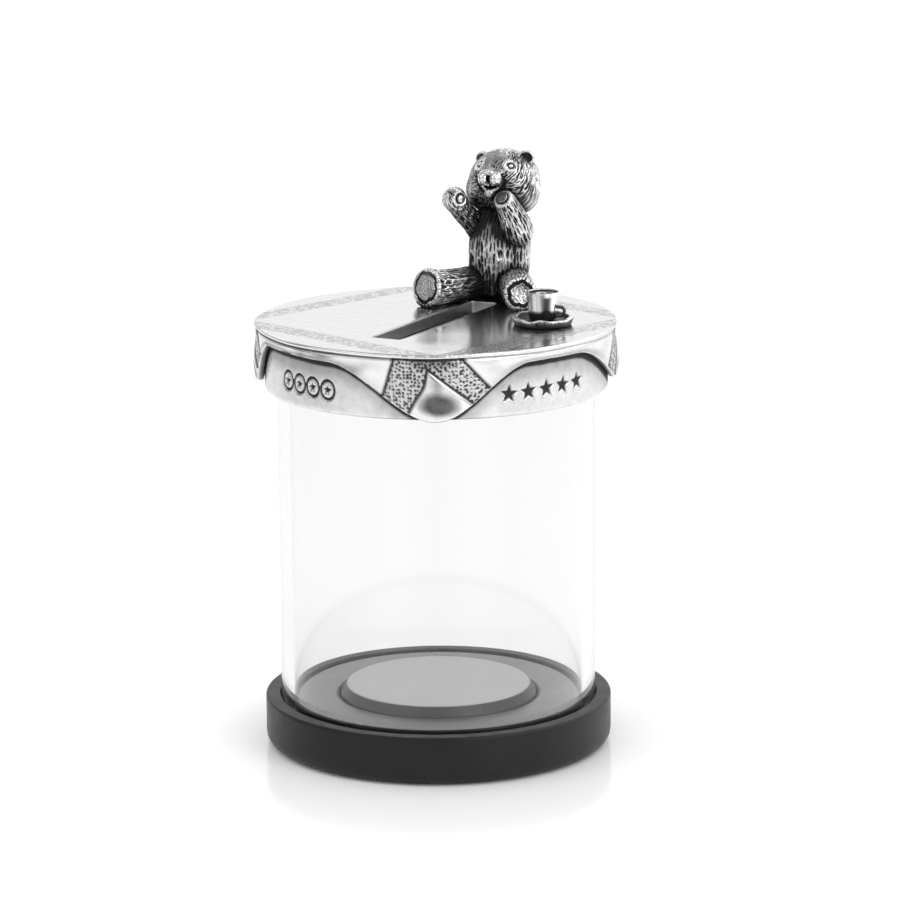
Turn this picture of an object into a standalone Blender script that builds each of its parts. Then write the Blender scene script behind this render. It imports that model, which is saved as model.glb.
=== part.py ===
"""Coin bank jar: a glass tube on a black base, closed by a cast pewter lid with a coin slot.

A bear sits on the lid at the end of the slot, with a cup and saucer beside it. The lid is draped
as a small tablecloth whose four corners hang over its engraved band. Coins go in through the slot
and come out through a rubber stopper in the base, or through the top with the lid lifted off.

Frame: the origin is the centre of the underside, +Z is up, and the bear faces -Y along the slot.
"""

import math

import bmesh
import bpy
import numpy as np
from mathutils import Vector

# Sizes are in metres.
GAP = 0.0003  # left between two pieces that rest on each other

# Base
BASE_RIM_WIDTH = 0.0032
BASE_THICKNESS = 0.0105
FOOT_ROUND = 0.0020
RIM_ROUND = 0.0005
GROOVE_DEPTH = 0.0035
PAD_EDGE_MARGIN = 0.0037
PAD_LAND = 0.0028
PAD_THICKNESS = 0.0010
PAD_PROUD = 0.0005

# Glass tube and the ring that it stands on
GLASS_RADIUS = 0.0350
GLASS_WALL = 0.0028
GLASS_HEIGHT = 0.0812
SEAT_THICKNESS = 0.0008

# Rubber stopper in the base
STOPPER_RADIUS = 0.0219
STOPPER_RISE = 0.0022
STOPPER_TAPER = 0.0015
FLANGE_OVERLAP = 0.0035
FLANGE_THICKNESS = 0.0025
FLANGE_RECESS = 0.0007
FINGER_RADIUS = 0.0150
FINGER_DEPTH = 0.0058
FINGER_BAR_WIDTH = 0.0050

# Lid: plug collar, seal, engraved band and tablecloth top
BAND_FIT = 0.0004
BAND_WALL = 0.0023
BAND_HEIGHT = 0.0117
BAND_ROUND = 0.0005
COLLAR_WALL = 0.0033
COLLAR_FLANGE = 0.0019
COLLAR_DEPTH = 0.0079
SEAL_WIDTH = 0.0014
SEAL_DROP = 0.0043
SEAL_GROOVE_DEPTH = 0.0011
CLOTH_THICKNESS = 0.0026
DRAPE_THICKNESS = 0.0020
HEM_DROP = 0.0030
HEM_ROUND = 0.0009
CORNER_DROP = 0.0122
CORNER_FLARE = 0.0013
CORNER_SPREAD = math.radians(31.0)
CORNER_TURN = math.radians(27.5)  # from -Y towards +X
CORNERS = 4
SLOT_WIDTH = 0.0070
SLOT_LENGTH = 0.0468
SLOT_OFFSET = 0.0005
SLOT_TO_BEAR = 0.0014
SLOT_ROUND = 0.0008

# Bear: places are measured from the point of the cloth under its torso
BEAR_MARGIN = 0.0092
TORSO_RADIUS = 0.0070
TORSO_HEIGHT = 0.0222
HEAD_OFFSET = (0.0017, -0.0004)
HEAD_RISE = 0.0041  # of the head's centre above the torso
HEAD_RADII = (0.0083, 0.0077, 0.0075)
MUZZLE_PLACE = (0.0, -0.72, 0.16)  # in shares of the head's radii
MUZZLE_RADII = (0.0036, 0.0034, 0.0030)
EAR_PLACE = (0.68, 0.04, 0.64)  # in shares of the head's radii
EAR_RADII = (0.0023, 0.0014, 0.0020)
# Arms run from shoulder to paw, with heights counted from the top of the torso
RIGHT_ARM = (
    (-0.0036, -0.0004, -0.0086),
    (-0.0044, -0.0036, -0.0054),
    (-0.0050, -0.0076, -0.0023),
    (-0.0054, -0.0114, 0.0012),
)
RIGHT_ARM_RADII = (0.0030, 0.0027, 0.0025, 0.0027)
LEFT_ARM = (
    (0.0045, 0.0005, -0.0060),
    (0.0074, -0.0036, -0.0068),
    (0.0070, -0.0070, -0.0030),
    (0.0058, -0.0092, 0.0006),
)
LEFT_ARM_RADII = (0.0030, 0.0029, 0.0026, 0.0024)
# Legs run from hip to sole, and lie on the cloth
RIGHT_LEG = ((-0.0036, -0.0016), (-0.0062, -0.0103), (-0.0089, -0.0189))
RIGHT_LEG_RADII = (0.0038, 0.0037, 0.0043)
LEFT_LEG = ((0.0036, -0.0016), (0.0080, -0.0080), (0.0121, -0.0137))
LEFT_LEG_RADII = (0.0038, 0.0036, 0.0035)

# Cup and saucer
SAUCER_CENTRE = (0.0236, 0.0050)
SAUCER_RADIUS = 0.0070
SAUCER_HEIGHT = 0.0020
SAUCER_WALL = 0.0008
SAUCER_FOOT_RADIUS = 0.0040
CUP_RADIUS = 0.0036
CUP_FOOT_RADIUS = 0.0030
CUP_HEIGHT = 0.0058
CUP_WALL = 0.0005
TEA_DEPTH = 0.0009

# Facets round a piece
LARGE_SIDES = 64
HIDDEN_SIDES = 48
CLOTH_SIDES = 96
FIGURE_SIDES = 24
LIMB_SIDES = 14
ROUND_STEPS = 4

# Heights of the stack, from the table up
BASE_BOTTOM = PAD_PROUD
BASE_TOP = BASE_BOTTOM + BASE_THICKNESS
GROOVE_FLOOR = BASE_TOP - GROOVE_DEPTH
GLASS_BOTTOM = GROOVE_FLOOR + GAP + SEAT_THICKNESS + GAP
GLASS_TOP = GLASS_BOTTOM + GLASS_HEIGHT
COLLAR_FLANGE_BOTTOM = GLASS_TOP + GAP
COLLAR_TOP = COLLAR_FLANGE_BOTTOM + COLLAR_FLANGE
CLOTH_UNDERSIDE = COLLAR_TOP + GAP
LID_TOP = CLOTH_UNDERSIDE + CLOTH_THICKNESS

# Radii that follow from the fits
BASE_RADIUS = GLASS_RADIUS + GAP + BASE_RIM_WIDTH
FLANGE_RADIUS = STOPPER_RADIUS + FLANGE_OVERLAP
PAD_OUTER_RADIUS = BASE_RADIUS - PAD_EDGE_MARGIN
PAD_INNER_RADIUS = FLANGE_RADIUS + GAP + PAD_LAND
GLASS_BORE = GLASS_RADIUS - GLASS_WALL
BAND_BORE = GLASS_RADIUS + BAND_FIT
BAND_RADIUS = BAND_BORE + BAND_WALL
COLLAR_RADIUS = GLASS_BORE - BAND_FIT
COLLAR_BORE = COLLAR_RADIUS - COLLAR_WALL
SKIRT_BORE = BAND_RADIUS + GAP
CLOTH_RADIUS = SKIRT_BORE + DRAPE_THICKNESS

# Places on the lid
BEAR_SEAT = (0.0, CLOTH_RADIUS - BEAR_MARGIN)
SLOT_END = BEAR_SEAT[1] - TORSO_RADIUS - SLOT_TO_BEAR
SLOT_CENTRE = (SLOT_OFFSET, SLOT_END - SLOT_LENGTH / 2.0)


def clear_scene():
    for thing in list(bpy.data.objects):
        bpy.data.objects.remove(thing, do_unlink=True)


def material(name, colour, roughness, metallic=0.0, alpha=1.0):
    made = bpy.data.materials.new(name)
    made.use_nodes = True
    shader = made.node_tree.nodes["Principled BSDF"]
    shader.inputs["Base Color"].default_value = (*colour, 1.0)
    shader.inputs["Roughness"].default_value = roughness
    shader.inputs["Metallic"].default_value = metallic
    shader.inputs["Alpha"].default_value = alpha
    return made


def place(name, shape, look, at=(0.0, 0.0, 0.0)):
    """Puts a finished bmesh into the scene as one named object."""
    bmesh.ops.recalc_face_normals(shape, faces=shape.faces)
    mesh = bpy.data.meshes.new(name)
    shape.to_mesh(mesh)
    shape.free()
    mesh.shade_smooth()
    mesh.set_sharp_from_angle(angle=math.radians(32.0))
    piece = bpy.data.objects.new(name, mesh)
    piece.location = at
    piece.data.materials.append(look)
    bpy.context.scene.collection.objects.link(piece)
    return piece


def as_cutter(piece):
    piece.hide_render = True
    piece.display_type = "WIRE"
    return piece


def boolean(piece, tool, operation):
    """Joins or cuts piece with tool, which becomes a hidden helper."""
    step = piece.modifiers.new(f"{operation.lower()}_{tool.name}", "BOOLEAN")
    step.operation = operation
    step.solver = "EXACT"
    step.object = as_cutter(tool)


def swept_section(section_at, sides, start=0.0):
    """A ring or a solid of revolution whose section may change on the way round.

    section_at(angle) lists (radius, height) anticlockwise round the section. A point of radius 0
    is a pole, shared by all the sections.
    """
    shape = bmesh.new()
    sections = [section_at(start + math.tau * turn / sides) for turn in range(sides)]
    rings = []
    for turn, section in enumerate(sections):
        angle = start + math.tau * turn / sides
        ring = []
        for index, (radius, height) in enumerate(section):
            if radius == 0.0 and rings:
                ring.append(rings[0][index])
                continue
            across = (radius * math.cos(angle), radius * math.sin(angle), height)
            ring.append(shape.verts.new(across))
        rings.append(ring)
    for turn in range(sides):
        this, following = rings[turn], rings[(turn + 1) % sides]
        for index in range(len(this)):
            after = (index + 1) % len(this)
            corners = [this[index], following[index], following[after], this[after]]
            kept = list(dict.fromkeys(corners))
            if len(kept) > 2:
                shape.faces.new(kept)
    return shape


def turned(name, profile, look, sides=LARGE_SIDES, at=(0.0, 0.0, 0.0)):
    return place(name, swept_section(lambda angle: profile, sides), look, at)


def prism(name, outline, low, high, look):
    """An outline in the XY plane, given anticlockwise, extruded from low to high."""
    shape = bmesh.new()
    face = shape.faces.new([shape.verts.new((x, y, low)) for x, y in outline])
    grown = bmesh.ops.extrude_face_region(shape, geom=[face])
    risen = [item for item in grown["geom"] if isinstance(item, bmesh.types.BMVert)]
    bmesh.ops.translate(shape, verts=risen, vec=(0.0, 0.0, high - low))
    return place(name, shape, look)


def ellipsoid(name, centre, radii, look, sides=FIGURE_SIDES, swell=0.0):
    shape = bmesh.new()
    bmesh.ops.create_uvsphere(shape, u_segments=sides, v_segments=sides // 2, radius=1.0)
    bmesh.ops.scale(shape, vec=[radius + swell for radius in radii], verts=shape.verts)
    return place(name, shape, look, centre)


def arc(centre_radius, centre_height, radius, first, last):
    """Points of a fillet in a section, from one angle to another in degrees."""
    turns = [math.radians(first + (last - first) * step / ROUND_STEPS) for step in range(ROUND_STEPS + 1)]
    return [
        (centre_radius + radius * math.cos(turn), centre_height + radius * math.sin(turn))
        for turn in turns
    ]


def limb(name, path, radii, look, flat_end=False):
    """A tube through the path's points with a radius at each, and round ends.

    With flat_end the last end is cut square across, as the sole of a foot is.
    """
    points = [Vector(point) for point in path]
    lead = (points[1] - points[0]).normalized()
    trail = (points[-1] - points[-2]).normalized()
    stations = [(points[0] - lead * radii[0] * math.cos(turn), radii[0] * math.sin(turn), lead)
                for turn in (math.radians(35.0), math.radians(65.0))]
    for index, point in enumerate(points):
        before = points[max(index - 1, 0)]
        after = points[min(index + 1, len(points) - 1)]
        stations.append((point, radii[index], (after - before).normalized()))
    last_pole = points[-1]
    if not flat_end:
        for turn in (math.radians(65.0), math.radians(35.0)):
            centre = points[-1] + trail * radii[-1] * math.cos(turn)
            stations.append((centre, radii[-1] * math.sin(turn), trail))
        last_pole = points[-1] + trail * radii[-1]
    shape = bmesh.new()
    rings = []
    for centre, radius, along in stations:
        side = along.cross(Vector((0.0, 0.0, 1.0))).normalized()
        up = side.cross(along)
        ring = []
        for turn in range(LIMB_SIDES):
            angle = math.tau * turn / LIMB_SIDES
            ring.append(shape.verts.new(centre + radius * (side * math.cos(angle) + up * math.sin(angle))))
        rings.append(ring)
    for this, following in zip(rings, rings[1:]):
        for turn in range(LIMB_SIDES):
            after = (turn + 1) % LIMB_SIDES
            shape.faces.new([this[turn], this[after], following[after], following[turn]])
    for ring, pole in ((rings[0], points[0] - lead * radii[0]), (rings[-1], last_pole)):
        tip = shape.verts.new(pole)
        for turn in range(LIMB_SIDES):
            shape.faces.new([ring[turn], ring[(turn + 1) % LIMB_SIDES], tip])
    return place(name, shape, look, (*BEAR_SEAT, LID_TOP))


# Base, glass and stopper


def make_base(look):
    hole = STOPPER_RADIUS + GAP
    flange_bore = FLANGE_RADIUS + GAP
    flange_ceiling = BASE_BOTTOM + FLANGE_RECESS + FLANGE_THICKNESS + GAP
    pad_ceiling = PAD_THICKNESS + GAP
    foot = arc(BASE_RADIUS - FOOT_ROUND, BASE_BOTTOM + FOOT_ROUND, FOOT_ROUND, -90.0, 0.0)
    rim = arc(BASE_RADIUS - RIM_ROUND, BASE_TOP - RIM_ROUND, RIM_ROUND, 0.0, 90.0)
    profile = [
        (hole, flange_ceiling),
        (flange_bore, flange_ceiling),
        (flange_bore, BASE_BOTTOM),
        (PAD_INNER_RADIUS - GAP, BASE_BOTTOM),
        (PAD_INNER_RADIUS - GAP, pad_ceiling),
        (PAD_OUTER_RADIUS + GAP, pad_ceiling),
        (PAD_OUTER_RADIUS + GAP, BASE_BOTTOM),
        *foot,
        *rim,
        (GLASS_RADIUS + GAP, BASE_TOP),
        (GLASS_RADIUS + GAP, GROOVE_FLOOR),
        (GLASS_BORE - GAP, GROOVE_FLOOR),
        (GLASS_BORE - GAP, BASE_TOP),
        (hole, BASE_TOP),
    ]
    turned("base_plate", profile, look)


def ring(name, inner, outer, low, high, look, sides=HIDDEN_SIDES):
    turned(name, [(inner, low), (outer, low), (outer, high), (inner, high)], look, sides)


def make_glass(look):
    ring("glass_cylinder", GLASS_BORE, GLASS_RADIUS, GLASS_BOTTOM, GLASS_TOP, look, LARGE_SIDES)


def make_seat_ring(look):
    low = GROOVE_FLOOR + GAP
    ring("glass_seat_ring", GLASS_BORE, GLASS_RADIUS, low, low + SEAT_THICKNESS, look)


def make_base_pad(look):
    ring("base_pad", PAD_INNER_RADIUS, PAD_OUTER_RADIUS, 0.0, PAD_THICKNESS, look)


def make_stopper(look):
    """A bung with a flange below the base and a bar across its underside to pull it by."""
    low = BASE_BOTTOM + FLANGE_RECESS
    top_radius = STOPPER_RADIUS - STOPPER_TAPER
    top = BASE_TOP + STOPPER_RISE
    shoulder = top - STOPPER_TAPER
    profile = [
        (0.0, low),
        (FLANGE_RADIUS, low),
        (FLANGE_RADIUS, low + FLANGE_THICKNESS),
        (STOPPER_RADIUS, low + FLANGE_THICKNESS),
        (STOPPER_RADIUS, shoulder),
        (top_radius, top),
        (0.0, top),
    ]
    stopper = turned("stopper", profile, look)
    half_bar = FINGER_BAR_WIDTH / 2.0
    first = math.asin(half_bar / FINGER_RADIUS)
    turns = np.linspace(first, math.pi - first, HIDDEN_SIDES // 3)
    for side, name in ((1.0, "finger_hollow_rear"), (-1.0, "finger_hollow_front")):
        outline = [(side * FINGER_RADIUS * math.cos(t), side * FINGER_RADIUS * math.sin(t)) for t in turns]
        hollow = prism(name, outline, low - FINGER_DEPTH, low + FINGER_DEPTH, look)
        boolean(stopper, hollow, "DIFFERENCE")


# Lid


def make_collar(look):
    """The plug that fits inside the glass, with a flange on the rim of the glass."""
    bottom = COLLAR_FLANGE_BOTTOM - COLLAR_DEPTH
    seal_middle = COLLAR_FLANGE_BOTTOM - SEAL_DROP
    half_groove = SEAL_WIDTH / 2.0 + GAP
    groove_radius = COLLAR_RADIUS - SEAL_GROOVE_DEPTH
    profile = [
        (COLLAR_BORE, bottom),
        (COLLAR_RADIUS, bottom),
        (COLLAR_RADIUS, seal_middle - half_groove),
        (groove_radius, seal_middle - half_groove),
        (groove_radius, seal_middle + half_groove),
        (COLLAR_RADIUS, seal_middle + half_groove),
        (COLLAR_RADIUS, COLLAR_FLANGE_BOTTOM),
        (GLASS_RADIUS, COLLAR_FLANGE_BOTTOM),
        (GLASS_RADIUS, COLLAR_TOP),
        (COLLAR_BORE, COLLAR_TOP),
    ]
    turned("lid_collar", profile, look)


def make_seal(look):
    """The ring in the collar's groove, with a rounded section."""
    inner = COLLAR_RADIUS - SEAL_GROOVE_DEPTH + GAP
    outer = GLASS_BORE - GAP
    middle = COLLAR_FLANGE_BOTTOM - SEAL_DROP
    half_depth = (outer - inner) / 2.0
    half_width = SEAL_WIDTH / 2.0
    turns = [math.tau * step / 6.0 for step in range(6)]
    centre = (inner + outer) / 2.0
    profile = [(centre + half_depth * math.cos(t), middle + half_width * math.sin(t)) for t in turns]
    turned("lid_seal_ring", profile, look, HIDDEN_SIDES)


def make_band(look):
    low = COLLAR_TOP - BAND_HEIGHT
    lower = arc(BAND_RADIUS - BAND_ROUND, low + BAND_ROUND, BAND_ROUND, -90.0, 0.0)
    upper = arc(BAND_RADIUS - BAND_ROUND, COLLAR_TOP - BAND_ROUND, BAND_ROUND, 0.0, 90.0)
    turned("lid_band", [(BAND_BORE, low), *lower[::2], *upper[::2], (BAND_BORE, COLLAR_TOP)], look)


def corner_share(angle):
    """1 at the tip of a hanging corner, falling to 0 a spread away from it."""
    step = math.tau / CORNERS
    from_corner = (angle - cloth_start() + step / 2.0) % step - step / 2.0
    return max(0.0, 1.0 - abs(from_corner) / CORNER_SPREAD)


def cloth_start():
    """The angle of the front corner, anticlockwise from +X."""
    return CORNER_TURN - math.pi / 2.0


def cloth_section(angle):
    """The cloth from its middle to its hem: a flat top, a rounded shoulder and a hanging skirt."""
    share = corner_share(angle)
    rim = CLOTH_RADIUS + CORNER_FLARE * share * share
    edge = LID_TOP - HEM_DROP - CORNER_DROP * share
    shoulder = arc(rim - HEM_ROUND, LID_TOP - HEM_ROUND, HEM_ROUND, 0.0, 90.0)
    return [
        (0.0, CLOTH_UNDERSIDE),
        (SKIRT_BORE, CLOTH_UNDERSIDE),
        (SKIRT_BORE, edge),
        (rim, edge),
        *shoulder[::2],
        (0.0, LID_TOP),
    ]


def slot_outline():
    half_width = SLOT_WIDTH / 2.0 - SLOT_ROUND
    half_length = SLOT_LENGTH / 2.0 - SLOT_ROUND
    outline = []
    for x_side, y_side, first in ((1, 1, 0.0), (-1, 1, 90.0), (-1, -1, 180.0), (1, -1, 270.0)):
        x = SLOT_CENTRE[0] + x_side * half_width
        y = SLOT_CENTRE[1] + y_side * half_length
        outline.extend(arc(x, y, SLOT_ROUND, first, first + 90.0))
    return outline


def make_cloth(look):
    shape = swept_section(cloth_section, CLOTH_SIDES, cloth_start())
    cloth = place("lid_top", shape, look)
    low = CLOTH_UNDERSIDE - CLOTH_THICKNESS
    slot = prism("coin_slot", slot_outline(), low, LID_TOP + CLOTH_THICKNESS, look)
    boolean(cloth, slot, "DIFFERENCE")


# Bear


def torso_profile(swell):
    """Pear-shaped: widest above the seat, narrow under the head."""
    shares = (
        (0.82, 0.0),
        (0.98, 0.10),
        (1.0, 0.36),
        (0.95, 0.58),
        (0.86, 0.75),
        (0.66, 0.90),
        (0.34, 0.98),
    )
    rise = TORSO_HEIGHT - GAP
    outline = [(share * TORSO_RADIUS + swell, GAP + height * rise) for share, height in shares]
    top = TORSO_HEIGHT + swell
    return [(0.0, GAP - swell), (outline[0][0], GAP - swell), *outline[1:], (0.0, top)]


def head_point(place=(0.0, 0.0, 0.0), side=1.0):
    """A point of the head, given in shares of its radii from its centre."""
    x = BEAR_SEAT[0] + HEAD_OFFSET[0] + side * place[0] * HEAD_RADII[0]
    y = BEAR_SEAT[1] + HEAD_OFFSET[1] + place[1] * HEAD_RADII[1]
    z = LID_TOP + TORSO_HEIGHT + HEAD_RISE + place[2] * HEAD_RADII[2]
    return (x, y, z)


def arm_path(points):
    return [(x, y, TORSO_HEIGHT + z) for x, y, z in points]


def make_bear(look):
    seat = (*BEAR_SEAT, LID_TOP)
    turned("bear_torso", torso_profile(0.0), look, FIGURE_SIDES, seat)
    torso_room = turned("torso_room", torso_profile(GAP), look, FIGURE_SIDES, seat)
    head = ellipsoid("bear_head", head_point(), HEAD_RADII, look)
    boolean(head, ellipsoid("muzzle", head_point(MUZZLE_PLACE), MUZZLE_RADII, look, 16), "UNION")
    for side, name in ((1.0, "left_ear"), (-1.0, "right_ear")):
        boolean(head, ellipsoid(name, head_point(EAR_PLACE, side), EAR_RADII, look, 12), "UNION")
    boolean(head, torso_room, "DIFFERENCE")
    head_room = ellipsoid("head_room", head_point(), HEAD_RADII, look, swell=GAP)
    muzzle_room = ellipsoid("muzzle_room", head_point(MUZZLE_PLACE), MUZZLE_RADII, look, 16, GAP)
    arms = (
        limb("bear_right_arm", arm_path(RIGHT_ARM), RIGHT_ARM_RADII, look),
        limb("bear_left_arm", arm_path(LEFT_ARM), LEFT_ARM_RADII, look),
    )
    for arm in arms:
        for room in (torso_room, head_room, muzzle_room):
            boolean(arm, room, "DIFFERENCE")
    for name, way, radii in (
        ("bear_right_leg", RIGHT_LEG, RIGHT_LEG_RADII),
        ("bear_left_leg", LEFT_LEG, LEFT_LEG_RADII),
    ):
        path = [(x, y, radius + GAP) for (x, y), radius in zip(way, radii)]
        boolean(limb(name, path, radii, look, flat_end=True), torso_room, "DIFFERENCE")


# Cup and saucer


def make_saucer(look):
    low = GAP
    rim = low + SAUCER_HEIGHT
    floor = low + SAUCER_WALL
    profile = [
        (0.0, low),
        (SAUCER_FOOT_RADIUS, low),
        (SAUCER_RADIUS, rim - SAUCER_WALL / 2.0),
        (SAUCER_RADIUS, rim),
        (SAUCER_RADIUS - SAUCER_WALL, rim),
        (SAUCER_FOOT_RADIUS, floor),
        (0.0, floor),
    ]
    turned("saucer", profile, look, 32, (*SAUCER_CENTRE, LID_TOP))


def make_cup(look):
    low = GAP + SAUCER_WALL + GAP
    rim = low + CUP_HEIGHT
    profile = [
        (0.0, low),
        (CUP_FOOT_RADIUS, low),
        (CUP_RADIUS * 0.90, low + CUP_HEIGHT * 0.20),
        (CUP_RADIUS, rim),
        (CUP_RADIUS - CUP_WALL, rim),
        (CUP_RADIUS - CUP_WALL, rim - TEA_DEPTH),
        (0.0, rim - TEA_DEPTH),
    ]
    turned("cup", profile, look, FIGURE_SIDES, (*SAUCER_CENTRE, LID_TOP))


def build():
    clear_scene()
    make_base(material("black_base", (0.012, 0.012, 0.013), 0.35))
    make_base_pad(material("foot_pad", (0.03, 0.03, 0.03), 0.9))
    make_seat_ring(material("seat_silicone", (0.55, 0.55, 0.55), 0.5))
    make_glass(material("clear_glass", (0.95, 0.96, 0.96), 0.02, alpha=0.3))
    make_stopper(material("stopper_rubber", (0.02, 0.02, 0.02), 0.6))
    make_seal(material("lid_seal_rubber", (0.6, 0.6, 0.6), 0.5))
    make_collar(material("collar_plastic", (0.05, 0.05, 0.05), 0.5))
    make_band(material("band_pewter", (0.36, 0.36, 0.37), 0.4, metallic=0.9))
    make_cloth(material("cloth_pewter", (0.42, 0.42, 0.43), 0.32, metallic=0.9))
    make_bear(material("bear_pewter", (0.30, 0.30, 0.31), 0.35, metallic=0.9))
    make_saucer(material("saucer_pewter", (0.34, 0.34, 0.35), 0.3, metallic=0.9))
    make_cup(material("cup_pewter", (0.34, 0.34, 0.35), 0.3, metallic=0.9))


build()
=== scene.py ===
"""Looks of the coin bank jar: polished and blackened pewter, clear glass and a satin black base.

Each piece is a surface worked out as whole arrays from a few sizes, most of them read from the
frame. Lengths are in metres. The bear faces -Y, and the front corner of the cloth faces the camera.
"""

import math

import bpy
import numpy as np
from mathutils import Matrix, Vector


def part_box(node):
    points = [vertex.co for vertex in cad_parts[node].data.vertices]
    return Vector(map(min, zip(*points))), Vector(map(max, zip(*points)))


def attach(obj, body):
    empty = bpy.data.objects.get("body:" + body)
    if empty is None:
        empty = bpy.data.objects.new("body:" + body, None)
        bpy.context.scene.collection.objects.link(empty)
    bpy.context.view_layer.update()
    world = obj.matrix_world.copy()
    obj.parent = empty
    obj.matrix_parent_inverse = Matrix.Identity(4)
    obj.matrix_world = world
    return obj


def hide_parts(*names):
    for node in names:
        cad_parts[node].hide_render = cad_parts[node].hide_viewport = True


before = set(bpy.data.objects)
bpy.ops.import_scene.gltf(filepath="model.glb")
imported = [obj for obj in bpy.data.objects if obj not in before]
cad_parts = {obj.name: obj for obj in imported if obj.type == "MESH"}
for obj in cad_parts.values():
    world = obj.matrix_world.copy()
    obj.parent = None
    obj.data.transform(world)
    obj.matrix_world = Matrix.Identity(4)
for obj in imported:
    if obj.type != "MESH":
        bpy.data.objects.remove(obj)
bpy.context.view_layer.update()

MM = 0.001

# Sizes read from the frame
BASE_LOW, BASE_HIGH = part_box("base_plate")
GLASS_LOW, GLASS_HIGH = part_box("glass_cylinder")
STOPPER_LOW, STOPPER_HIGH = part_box("stopper")
BAND_LOW, BAND_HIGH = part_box("lid_band")
CLOTH_LOW, CLOTH_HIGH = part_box("lid_top")
SAUCER_LOW, SAUCER_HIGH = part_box("saucer")
CUP_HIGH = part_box("cup")[1]
LID_TOP = CLOTH_HIGH.z

# Sizes that no box gives: the tube's wall, the play between loose parts, half the slot's width and
# its middle, and half the side of the square that the lace border follows on the lid
GLASS_WALL = 2.8 * MM
GAP = 0.3 * MM
SLOT_HALF_WIDTH = 3.5 * MM
SLOT_X, SLOT_Y = 0.5 * MM, -1.0 * MM
LACE_SQUARE = 31.0

# Directions, as angles anticlockwise from +X
FRONT_CORNER = math.radians(27.5 - 90.0)
QUARTER = math.pi / 2.0

# Points round a turned piece, and round the smaller saucer and cup
SIDES = 320
TEA_SIDES = 220


# Numbers that repeat from run to run


def scatter(first, second, seed):
    """A number from 0 to 1 for each pair of whole numbers: the fraction of a large sine."""
    mixed = np.sin(first * 12.9898 + second * 78.233 + seed * 37.719) * 43758.5453
    return mixed - np.floor(mixed)


def ease(low, high, value):
    """0 below low, 1 above high, and a smooth step between them."""
    share = np.clip((value - low) / (high - low), 0.0, 1.0)
    return share * share * (3.0 - 2.0 * share)


def bell(value, width):
    """1 where value is 0, and less on both sides: e to the power of minus (value / width) squared."""
    return np.exp(-((value / width) ** 2))


def unit(way):
    """A direction, with its length made 1."""
    return np.asarray(way, float) / np.linalg.norm(way)


def clouds(x, y, z, size, seed):
    """Smooth noise from -1 to 1: random values on a cubic lattice, blended between its points."""
    points = [axis / size for axis in np.broadcast_arrays(x, y, z)]
    cells = [np.floor(point) for point in points]
    shares = [ease(0.0, 1.0, point - cell) for point, cell in zip(points, cells)]
    total = np.zeros_like(points[0])
    for corner in range(8):
        bits = (corner & 1, corner >> 1 & 1, corner >> 2 & 1)
        weight = np.ones_like(total)
        for bit, share in zip(bits, shares):
            weight = weight * (share if bit else 1.0 - share)
        key = (cells[0] + bits[0]) + 57.0 * (cells[1] + bits[1])
        total += weight * scatter(key, cells[2] + bits[2], seed)
    return total * 2.0 - 1.0


def strokes(lane, along, lanes, seed, width=0.46, lean=0.35):
    """Depth from 0 to 1 of lens-shaped graver cuts in staggered lanes.

    lane counts lanes across the fur and wraps after lanes of them; along counts cut lengths with
    the fur. Each cut is 1 - (offset / half width)^2, its half width shrinks to both ends, and it
    has its own length, width, slant and strength.
    """
    depth = 0.0
    for lane_step in (-1, 0, 1):
        row = np.floor(lane) + lane_step
        key = np.mod(row, lanes)
        place = along + scatter(key, 3.0, seed)
        for cut_step in (-1, 0, 1):
            cut = np.floor(place) + cut_step
            up = place - cut - 0.5 - 0.3 * (scatter(key, cut, seed + 1.0) - 0.5)
            slant = lean * (scatter(key, cut, seed + 3.0) - 0.5) * 2.0 * up
            side = lane - row - 0.5 - 0.5 * (scatter(key, cut, seed + 2.0) - 0.5) - slant
            half = 0.42 + 0.24 * scatter(key, cut, seed + 4.0)
            taper = np.sqrt(np.clip(1.0 - (up / half) ** 2, 0.0, 1.0))
            reach = width * (0.55 + 0.75 * scatter(key, cut, seed + 5.0)) * taper + 1e-6
            strength = 0.45 + 0.55 * scatter(key, cut, seed + 6.0)
            depth = np.maximum(depth, strength * taper * np.clip(1.0 - (side / reach) ** 2, 0.0, 1.0))
    return depth


def pits(x, y, pitch, seed, size=0.34):
    """Depth from 0 to 1 of round punch marks, one in each cell of a grid, off its middle."""
    depth = 0.0
    across, up = x / pitch, y / pitch
    for step_x in (-1, 0, 1):
        for step_y in (-1, 0, 1):
            cell_x, cell_y = np.floor(across) + step_x, np.floor(up) + step_y
            from_x = across - cell_x - 0.5 - 0.6 * (scatter(cell_x, cell_y, seed) - 0.5)
            from_y = up - cell_y - 0.5 - 0.6 * (scatter(cell_x, cell_y, seed + 1.0) - 0.5)
            radius = size * (0.7 + 0.6 * scatter(cell_x, cell_y, seed + 2.0))
            depth = np.maximum(depth, 1.0 - np.hypot(from_x, from_y) / radius)
    return np.clip(depth * 1.6, 0.0, 1.0)


# Meshes


def grid_faces(rows, columns, loop_rows):
    """The four corners of every face of a grid whose columns wrap round."""
    index = np.arange(rows * columns).reshape(rows, columns)
    after = np.roll(index, -1, axis=1)
    last = rows if loop_rows else rows - 1
    above, above_after = np.roll(index, -1, axis=0), np.roll(after, -1, axis=0)
    return np.stack([index[:last], after[:last], above_after[:last], above[:last]], axis=-1).reshape(-1, 4)


def add_object(name, data):
    """An object in the scene for a mesh, a lamp or a camera."""
    made = bpy.data.objects.new(name, data)
    bpy.context.scene.collection.objects.link(made)
    return made


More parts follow.
